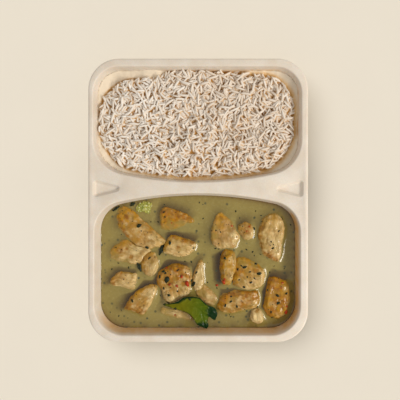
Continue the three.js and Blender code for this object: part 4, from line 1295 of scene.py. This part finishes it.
def lay_bits(name, spots, ground, seed, swell):
    """Flakes of given places and sizes, swollen so many times, each lying on the surface below it."""
    draw = random.Random(seed)
    points, faces = [], []
    for x, y, size in spots:
        hit, normal, _, _ = ground.ray_cast(Vector((x, y, ABOVE_ALL)) * MM, -UP)
        if hit is None:
            continue
        flake = flake_mesh(name, draw)
        lean = UP.rotation_difference((normal + UP).normalized()).to_matrix()
        turn = lean @ Matrix.Rotation(draw.uniform(0, 2 * math.pi), 3, "Z")
        start = len(points)
        points += [tuple((hit / MM + turn @ (v.co * size * swell)) + normal * 0.05) for v in flake.vertices]
        faces += [tuple(start + i for i in p.vertices) for p in flake.polygons]
        bpy.data.meshes.remove(flake)
    return mesh_from(name, points, faces)


def merged(meshes):
    """The points and faces of several meshes as one, and which mesh each face belongs to."""
    points, faces, owner = [], [], []
    for number, mesh in enumerate(meshes):
        start = len(points)
        points += [v.co for v in mesh.vertices]
        faces += [[start + i for i in p.vertices] for p in mesh.polygons]
        owner += [number] * len(mesh.polygons)
    return points, faces, owner


def joined(meshes):
    """One mesh of several, with the share of each point that is open to flecks."""
    points, faces, _ = merged(meshes)
    mesh = mesh_from("joined", [p / MM for p in points], faces)
    store(mesh, "open", [held.value for one in meshes for held in one.attributes["open"].data])
    return mesh


# ------------------------------------------------------------------ sauce


def contact_fields(ground, owner, contact):
    """Maps over the curry well: how far each cell lies from the line where the sauce meets a piece,
    negative under the piece, how high the sauce climbs there and how dark the piece's painted shadow
    is; and the corner of the maps. A piece gives its climb and the darkness of its painted shadow in
    contact."""
    xs, ys = (np.arange(*reach, CONTACT_CELL) for reach in SAUCE_REACH)
    covered = np.zeros((len(xs), len(ys)), bool)
    climb, shade, away, rise, dark = (np.zeros(covered.shape) for _ in range(5))
    for i, x in enumerate(xs):
        for j, y in enumerate(ys):
            hit, _, face, _ = ground.ray_cast(Vector((x, y, ABOVE_ALL)) * MM, -UP)
            if hit is not None:
                reach, shade[i, j] = contact[owner[face]]
                climb[i, j] = reach * (1 + 0.2 * fractal((x, y, 1), 4.5, 2))
                covered[i, j] = hit.z / MM > SAUCE_LEVEL + climb[i, j]
    inner = covered[:-2, 1:-1] & covered[2:, 1:-1] & covered[1:-1, :-2] & covered[1:-1, 2:]
    edge = [(i + 1, j + 1) for i, j in zip(*np.nonzero(covered[1:-1, 1:-1] & ~inner))]
    line = KDTree(len(edge))
    for number, (i, j) in enumerate(edge):
        line.insert((xs[i], ys[j], 0), number)
    line.balance()
    for i, x in enumerate(xs):
        for j, y in enumerate(ys):
            _, number, distance = line.find((x, y, 0))
            away[i, j] = -distance if covered[i, j] else distance
            rise[i, j], dark[i, j] = climb[edge[number]], shade[edge[number]]
    return [blurred(field, 7) for field in (away, rise, dark)], (xs[0], ys[0])


def inside_outline(x, y, outline):
    """Whether (x, y) lies inside a closed convex outline that runs anticlockwise."""
    for i in range(0, len(outline), 4):
        (ax, ay), (bx, by) = outline[i], outline[(i + 4) % len(outline)]
        if (bx - ax) * (y - ay) - (by - ay) * (x - ax) < 0:
            return False
    return True


def distance_to(rim):
    """A function that gives how far a place lies from an outline."""
    walls = KDTree(len(rim) * 8)
    for i, ((ax, ay), (bx, by)) in enumerate(zip(rim, rim[1:] + rim[:1])):
        for k in range(8):
            walls.insert((ax + (bx - ax) * k / 8, ay + (by - ay) * k / 8, 0), i)
    walls.balance()
    return lambda x, y: walls.find((x, y, 0))[2]


def sauce_mesh(ground, owner, contact):
    """The pool of sauce: level, but climbing the wall and every piece that stands in it."""
    fields, corner = contact_fields(ground, owner, contact)
    rim = well_outline(CURRY_WELL, wall_inset(SAUCE_LEVEL + 0.8, -0.12))
    to_rim = distance_to(rim)
    inner = []
    for i, j in np.ndindex(fields[0].shape):
        x, y = corner[0] + (i + j % 2 / 2) * CONTACT_CELL, corner[1] + j * CONTACT_CELL
        if to_rim(x, y) > 0.5 and inside_outline(x, y, rim):
            inner.append(Vector((x, y)))
    loop = [(i, (i + 1) % len(rim)) for i in range(len(rim))]
    flat, _, triangles, *_ = delaunay_2d_cdt([Vector(p) for p in rim] + inner, loop, [], 1, 1e-5)
    flat_x, flat_y = np.array([tuple(point) for point in flat]).T
    along_x, along_y = np.gradient(fields[0], CONTACT_CELL)
    fields.append(away_from_key(along_x, along_y))
    sampled_fields = [sampled(field, corner, CONTACT_CELL, flat_x, flat_y) for field in fields]
    points, piece_shadow, open_share, shore_shade = [], [], [], []
    for x, y, distance, rise, shade, far in zip(flat_x, flat_y, *sampled_fields):
        to_wall = to_rim(x, y)
        swell = 0.12 * fractal((x, y, 0), 22, 2) + 0.04 * fractal((x, y, 4), 3.2, 2)
        if distance < 0:
            z = SAUCE_LEVEL + rise + 0.9 * max(distance, -2.5)
            piece_shadow.append(0)
        else:
            climb = max(rise * math.exp(-distance / MENISCUS), 0.8 * math.exp(-to_wall / 1.7))
            z = SAUCE_LEVEL + swell * min(distance / 6, 1) + climb
            # Painted shadow: the sauce beside a piece is darkened on its side away from the key light (the
            # browned share), wider for taller pieces and as dark as the piece's shade.
            browned = 0.06 + 0.94 * step(far, -0.15, 0.5)
            piece_shadow.append(browned * shade * math.exp(-(distance / (1.6 + 2.8 * rise)) ** 2))
        points.append((x, y, z))
        # Flecks float clear of the pieces and of the wall, and painted shade darkens the sauce along the
        # wall, most by the near and right walls that shade it.
        open_share.append(0.0 if distance < 0.8 or to_wall < 1.2 else 1.0)
        shaded = max(step(x, -40, 60), step(-y, 85, 100))
        shore_shade.append(math.exp(-to_wall / 2) * (0.3 + 0.7 * shaded))
    faces = [tuple(t) for t in triangles]
    last = list(range(len(rim)))
    for inset, z in well_profile(CLEARANCE, SAUCE_LEVEL - 0.6):
        new = list(range(len(points), len(points) + len(rim)))
        points += [(x, y, z) for x, y in well_outline(CURRY_WELL, inset)]
        for k in range(len(new)):
            j = (k + 1) % len(new)
            faces.append((last[k], new[k], new[j], last[j]))
        last = new
    faces.append(tuple(reversed(last)))
    mesh = mesh_from("sauce", points, faces)
    below = [0] * (len(points) - len(flat))
    for name, shares in (("near", piece_shadow), ("open", open_share), ("shore", shore_shade)):
        store(mesh, name, shares + below)
    return mesh


def sauce_material(tones):
    """Coconut curry sauce: opaque olive cream with darker clouds, herb specks below and a wet gloss."""
    look = Look("coconut_curry_sauce", {
        "Specular IOR Level": 0.2, "Coat Weight": 1.0, "Coat Roughness": 0.05,
        "Subsurface Weight": 0.15, "Subsurface Radius": (0.002, 0.0015, 0.0006),
    })
    grain = look.spread(look.noise(2.2, 4, 0.6), 0.3, 0.7)
    look.base = look.mix(look.spread(look.noise(26), 0.3, 0.7), tones.sauce, tones.sauce_deep)
    look.layer(look.math(grain, 0.35), tones.sauce_light)
    # Painted shadow of the pieces, and painted shade along the wall.
    look.stain("near", tones.sauce_shadow, 0.95)
    look.stain("shore", tones.sauce_shore)
    for size, reach, strength in ((6.0, 0.24, 0.75), (8.0, 0.17, 1.0)):
        inputs = {"Vector": look.place, "Scale": 1 / (size * MM), "Randomness": 1.0}
        cells = look.node("ShaderNodeTexVoronoi", inputs).outputs
        picked = look.node("ShaderNodeSeparateColor", {"Color": cells["Color"]}).outputs["Red"]
        spot = look.spread(cells["Distance"], reach * 0.45, reach, strength, 0.0)
        look.layer(look.math(spot, look.spread(picked, 0.35, 0.6)), tones.sunk_herb)
    look.relief(grain, 0.25, 0.12)
    return look.finished(look.spread(grain, 0, 1, 0.2, 0.3))


# ------------------------------------------------------------------ settings


def tint(name, description, code):
    return FloatVectorProperty(
        name=name, description=description, subtype="COLOR", size=3, min=0, max=1, default=rgb(code))


class TraySettings(bpy.types.PropertyGroup):
    """The tray's wall and the colours of its fibre."""

    wall: FloatProperty(
        name="Wall", description="Thickness of the moulded fibre", unit="LENGTH", default=1.0 * MM)
    light: tint("Light", "Colour of the pressed fibre", "#eee7de")
    shade: tint("Shade", "Colour of its darker clouds", "#e6dccf")
    speck: tint("Speck", "Colour of coarse fibres", "#dacdbd")
    # The oil colour is partly painted warm bounce light on the shaded walls at the near right of the rice.
    oil: tint("Oil", "Colour of the wall where oil from the rice crept up", "#ecc27c")
    # The splash colour is partly painted shade and curry-coloured bounce light on the curry's right and
    # near walls.
    splash: tint("Splash", "Colour of the wall where sauce dried", "#dba74e")


class RiceSettings(bpy.types.PropertyGroup):
    """How much rice there is and its colours."""

    count: IntProperty(
        name="Grains", description="How many loose grains lie on the heap", default=3000, min=100)
    seed: IntProperty(name="Seed", description="Changes how the grains fall", default=11)
    white: tint("White", "Colour of the palest grains", "#fdfaf6")
    ivory: tint("Ivory", "Colour of the darkest grains", "#e8dccf")
    # The packed colour is also painted warm shade on the sides of the loose grains.
    packed: tint("Packed", "Colour of the packed rice under the grains", "#dcb67e")
    # The gap colour is painted shade deep between the grains.
    gap: tint("Gap", "Colour deep between the grains", "#ae7e3a")
    # The oily colour is partly painted warm bounce light at the heap's shaded near right.
    oily: tint("Oily edge", "Colour of the foot of the heap, where oil gathers", "#e6c084")
    starch: tint("Starch film", "Colour of the film that the rice leaves on the wall", "#efe3d0")


class CurrySettings(bpy.types.PropertyGroup):
    """The colours of the curry."""

    sauce: tint("Sauce", "Main colour of the sauce", "#9b8b49")
    sauce_deep: tint("Sauce, deep", "Colour of its darker clouds", "#8c7d3e")
    sauce_light: tint("Sauce, light", "Colour of the coconut in it", "#a89a5a")
    # Painted shadow: the colour of the pieces' shadows painted on the sauce.
    sauce_shadow: tint("Sauce, near meat", "Colour of the sauce where it climbs a piece", "#4a3410")
    # Painted shade: the colour of the sauce's shaded edge along the wall.
    sauce_shore: tint("Sauce, edge", "Colour of its oily edge at the wall", "#5e3c0a")
    sunk_herb: tint("Sunk herbs", "Colour of herb bits just under the surface", "#454b30")
    flesh: tint("Flesh", "Colour of poached meat", "#af8b4b")
    flesh_dark: tint("Flesh, dark", "Colour of its darker blotches", "#97742f")
    pink: tint("Pink", "Colour of its cut faces", "#b08752")
    cream: tint("Cream", "Colour of its pale fibres", "#e8d09a")
    gold: tint("Gold", "Colour of its stained edges", "#c8930c")
    browned: tint("Browned", "Colour where it is browned and stained", "#ad7012")
    char: tint("Dark browned", "Colour of the darkest browning", "#86500a")
    # The crease colour is painted shade in the creases, and is also laid as a random mottle.
    crease: tint("Crease", "Colour in its creases", "#76551e")
    film: tint("Film", "Colour of the sauce that clings to it", "#9a8340")
    stem: tint("Stem", "Colour of the green vegetable", "#838b2a")
    stem_pale: tint("Stem, pale", "Colour of its paler parts", "#bbba57")
    stem_tip: tint("Stem, tips", "Colour of its palest beads", "#dedcae")
    leaf_olive: tint("Leaf, olive", "Colour of the leaf by its stalk", "#726f05")
    leaf_green: tint("Leaf, green", "Colour of the middle of the leaf", "#4c6104")
    leaf_dark: tint("Leaf, dark", "Colour of its edges and tip", "#082c0a")
    leaf_vein: tint("Leaf, veins", "Colour of its veins", "#747a14")
    herb: tint("Herb", "Colour of chopped herbs", "#10170a")
    herb_green: tint("Herb, green", "Colour of the greener herbs", "#22300f")
    chilli: tint("Chilli", "Colour of chilli flakes", "#c23c06")
    chilli_dark: tint("Chilli, dark", "Darker colour of chilli flakes", "#8e2c05")


class StageSettings(bpy.types.PropertyGroup):
    """The floor and the lights."""

    floor: tint("Floor", "Colour of the floor", "#f1ebde")
    sky: FloatProperty(name="Sky", description="Strength of the even light", default=0.5, min=0)
    key: FloatProperty(
        name="Key", description="Power of the soft light at the right", unit="POWER", default=10.6, min=0)
    backdrop: FloatProperty(
        name="Backdrop", description="Strength of the light on the floor alone", default=1.62, min=0)


# ------------------------------------------------------------------ operators

# The meshes made so far, by node; the sauce meets them and the bits lie on them.
made = {}


class CURRY_OT_tray(bpy.types.Operator):
    """Builds the moulded tray with its two wells"""

    bl_idname = "curry.tray"
    bl_label = "Tray"

    def execute(self, context):
        settings = context.scene.curry_tray
        mesh = tray_mesh(settings.wall)
        stain_tray(mesh)
        new_piece("tray_body", mesh, fibre_material(settings), "tray", "moulded_fibre")
        return {"FINISHED"}


class CURRY_OT_rice(bpy.types.Operator):
    """Builds the heap of rice and the loose grains that cover it"""

    bl_idname = "curry.rice"
    bl_label = "Rice"

    def execute(self, context):
        settings = context.scene.curry_rice
        grains, height = settle_grains(settings.count, settings.seed)
        new_piece("rice_heap", heap_mesh(height), heap_material(settings), "rice", "cooked_rice")
        steamed = grain_material(settings)
        draw = random.Random(settings.seed + 1)
        half = len(grains) // 2
        for name, part in (("rice_grains_lower", grains[:half]), ("rice_grains_upper", grains[half:])):
            x, y, z, turn, tilt, length, width, tone = np.array(part).T
            rolls = [draw.uniform(-GRAIN_ROLL, GRAIN_ROLL) + draw.choice((0, math.pi)) for _ in part]
            carrier = mesh_from(name + "_places", [grain[:3] for grain in part], [])
            store(carrier, "turn", np.stack([rolls, -tilt, turn], 1), "FLOAT_VECTOR")
            store(carrier, "size", np.stack([length, width, width], 1), "FLOAT_VECTOR")
            # A grain is more ivory towards the right of the heap, and darker where it lies low: painted
            # shade between the grains.
            store(carrier, "tone", 0.6 * tone + 0.5 * smoothstep(x, -60, 30))
            store(carrier, "deep", smoothstep(rice_height(x, y) - z, 0.3, 1.8) * 0.25)
            mesh = scatter(carrier, grain_mesh(), steamed, MM, on_faces=False)
            # Painted warm shade on the sides of each grain.
            store(mesh, "side", 1 - smoothstep(normals_of(mesh)[:, 2], 0.15, 0.8))
            new_piece(name, mesh, steamed, "rice", "cooked_rice")
        return {"FINISHED"}


class CURRY_OT_meat(bpy.types.Operator):
    """Builds the chicken pieces"""

    bl_idname = "curry.meat"
    bl_label = "Chicken"

    def execute(self, context):
        slots = ("poached_chicken", "browned_chicken")
        materials = [meat_material(slot, context.scene.curry_food) for slot in slots]
        for number, (node, traits) in enumerate(MEAT.items()):
            made[node] = shape_meat(node, traits, number)
            kind = int(node in BROWNED_PIECES)
            new_piece(node + "_meat", made[node], materials[kind], node, slots[kind])
        return {"FINISHED"}


class CURRY_OT_greens(bpy.types.Operator):
    """Builds the green vegetable and the leaves"""

    bl_idname = "curry.greens"
    bl_label = "Greens"

    def execute(self, context):
        tones = context.scene.curry_food
        wilted = bit_material("wilted_leaf", tones.herb, tones.herb_green, 1.6, 0.45, 0.3)
        green = vegetable_material(tones)
        made["green_vegetable"] = shape_vegetable()
        new_piece("vegetable_floret", made["green_vegetable"], green, "green_vegetable", "green_vegetable")
        made["leaf"] = leaf_mesh()
        new_piece("leaf_blade", made["leaf"], leaf_material(tones), "leaf", "green_leaf")
        for node, blade in SCRAPS.items():
            made[node] = scrap_mesh(node, blade)
            new_piece(node + "_blade", made[node], wilted, node, "wilted_leaf")
        return {"FINISHED"}


class CURRY_OT_sauce(bpy.types.Operator):
    """Builds the pool of sauce round the pieces"""

    bl_idname = "curry.sauce"
    bl_label = "Sauce"

    def execute(self, context):
        if not made:
            raise RuntimeError("the meat and the greens come before the sauce")
        nodes = [node for node in made if node != "leaf"]
        points, faces, owner = merged([made[node] for node in nodes])
        contact = []
        for node in nodes:
            reach = CLIMB_SHARE * (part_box(node)[1].z / MM - SAUCE_LEVEL)
            # A piece's shade is how dark the painted shadow is that it casts on the sauce.
            shade = MEAT.get(node, {}).get("shade", GREENS_SHADOW)
            contact.append((min(max(reach, LEAST_CLIMB), MOST_CLIMB), shade))
        made["sauce"] = sauce_mesh(BVHTree.FromPolygons(points, faces), owner, contact)
        material = sauce_material(context.scene.curry_food)
        new_piece("sauce_pool", made["sauce"], material, "sauce", "curry_sauce")
        return {"FINISHED"}


class CURRY_OT_bits(bpy.types.Operator):
    """Lays herb and chilli flakes on the meat and scatters fine flecks over the sauce and the meat"""

    bl_idname = "curry.bits"
    bl_label = "Herbs and chilli"

    def execute(self, context):
        if "sauce" not in made:
            raise RuntimeError("the sauce comes before the bits that lie on it")
        tones = context.scene.curry_food
        points, faces, _ = merged([made[node] for node in made if node != "leaf_scrap_rim"])
        ground = BVHTree.FromPolygons(points, faces)
        herb = bit_material("chopped_herbs", tones.herb, tones.herb_green, 1.2, 0.5, 0.25)
        chilli = bit_material("chilli_flakes", tones.chilli, tones.chilli_dark, 1.2, 0.45, 0.3)
        flakes = lay_bits("herb_flakes", HERB_BITS, ground, 5, 1.35)
        new_piece("herb_flakes", flakes, herb, slot="wilted_leaf")
        new_piece("chilli_flakes", lay_bits("chilli_flakes", CHILLI_BITS, ground, 6, 1.2), chilli)
        fleck, pepper = flake_mesh("fleck", random.Random(3), 6), flake_mesh("pepper", random.Random(8), 5)
        meat = joined([made[node] for node in MEAT])
        for name, carrier, shape, size, density, seed in (
            ("sauce_flecks", made["sauce"].copy(), fleck, 2.1, 5500, 4),
            ("meat_flecks", meat, pepper, 1.5, 17000, 9),
        ):
            flecks = scatter(carrier, shape, herb, size * MM, density, seed)
            new_piece(name, flecks, herb, slot="wilted_leaf")
        return {"FINISHED"}


class CURRY_OT_stage(bpy.types.Operator):
    """Sets the floor, the soft lights and the camera"""

    bl_idname = "curry.stage"
    bl_label = "Stage"

    def execute(self, context):
        scene, settings = context.scene, context.scene.curry_stage
        # Matt painted board: nearly one even tone, without gloss.
        look = Look("painted_floor", {"Roughness": 0.8, "Specular IOR Level": 0.2})
        look.base = look.mix(look.noise(60), settings.floor, [c * 0.97 for c in settings.floor])
        corners = [(x * FLOOR_HALF, y * FLOOR_HALF, 0) for x, y in ((-1, -1), (1, -1), (1, 1), (-1, 1))]
        floor = in_scene("floor", mesh_from("floor", corners, [(0, 1, 2, 3)]))
        floor.data.materials.append(look.finished())
        scene.world = bpy.data.worlds.new("studio")
        scene.world.use_nodes = True
        sky = scene.world.node_tree.nodes["Background"].inputs
        sky["Color"].default_value = colour(rgb("#fffaf2"))
        sky["Strength"].default_value = settings.sky
        key = self.light("key", "AREA", KEY_PLACE, settings.key, "#fff6e8", floor, "EXCLUDE")
        key.shape = "RECTANGLE"
        key.size, key.size_y = KEY_SIZE
        power = settings.backdrop
        backdrop = self.light("backdrop", "SUN", BACKDROP_PLACE, power, "#fffaf4", floor, "INCLUDE")
        backdrop.angle = math.radians(50)
        camera = bpy.data.cameras.new("camera")
        camera.lens = CAMERA["lens"]
        camera.sensor_width = 36
        camera.shift_x, camera.shift_y = CAMERA["shift"]
        camera.clip_start = 10 * MM
        scene.camera = in_scene("camera", camera)
        scene.camera.location = Vector(CAMERA["place"]) * MM
        scene.view_settings.view_transform = "Standard"
        return {"FINISHED"}

    def light(self, name, kind, place, power, tone, floor, on_floor):
        """A soft light that looks at the middle of the tray, and either spares the floor or lights
        it alone, so that the floor stays even."""
        lamp = bpy.data.lights.new(name, kind)
        lamp.energy = power
        lamp.color = rgb(tone)
        holder = in_scene(name, lamp)
        holder.location = place
        holder.rotation_mode = "QUATERNION"
        holder.rotation_quaternion = (Vector((0, 0, 20 * MM)) - Vector(place)).to_track_quat("-Z", "Y")
        group = bpy.data.collections.new(name + "_on_floor")
        group.objects.link(floor)
        holder.light_linking.receiver_collection = group
        group.collection_objects[0].light_linking.link_state = on_floor
        return lamp


class CURRY_PT_panel(bpy.types.Panel):
    """Lists a button for each piece of the meal, and the settings and colours of each part"""

    bl_idname = "CURRY_PT_panel"
    bl_label = "Thai green curry"
    bl_space_type = "VIEW_3D"
    bl_region_type = "UI"
    bl_category = "Curry"

    def draw(self, context):
        for operator in OPERATORS:
            self.layout.operator(operator.bl_idname)
        for group in SETTINGS:
            box = self.layout.box()
            settings = getattr(context.scene, group)
            for name in settings.bl_rna.properties.keys():
                if name not in ("rna_type", "name"):
                    box.prop(settings, name)


SETTINGS = {
    "curry_tray": TraySettings,
    "curry_rice": RiceSettings,
    "curry_food": CurrySettings,
    "curry_stage": StageSettings,
}
OPERATORS = (
    CURRY_OT_stage,
    CURRY_OT_tray,
    CURRY_OT_rice,
    CURRY_OT_meat,
    CURRY_OT_greens,
    CURRY_OT_sauce,
    CURRY_OT_bits,
)


def register():
    for name, group in SETTINGS.items():
        bpy.utils.register_class(group)
        setattr(bpy.types.Scene, name, PointerProperty(type=group))
    for kind in (*OPERATORS, CURRY_PT_panel):
        bpy.utils.register_class(kind)


def unregister():
    for kind in (CURRY_PT_panel, *reversed(OPERATORS)):
        bpy.utils.unregister_class(kind)
    for name, group in reversed(SETTINGS.items()):
        delattr(bpy.types.Scene, name)
        bpy.utils.unregister_class(group)


def main():
    register()
    bpy.ops.curry.stage()
    bpy.ops.curry.tray()
    bpy.ops.curry.rice()
    bpy.ops.curry.meat()
    bpy.ops.curry.greens()
    bpy.ops.curry.sauce()
    bpy.ops.curry.bits()


if __name__ == "__main__":
    main()
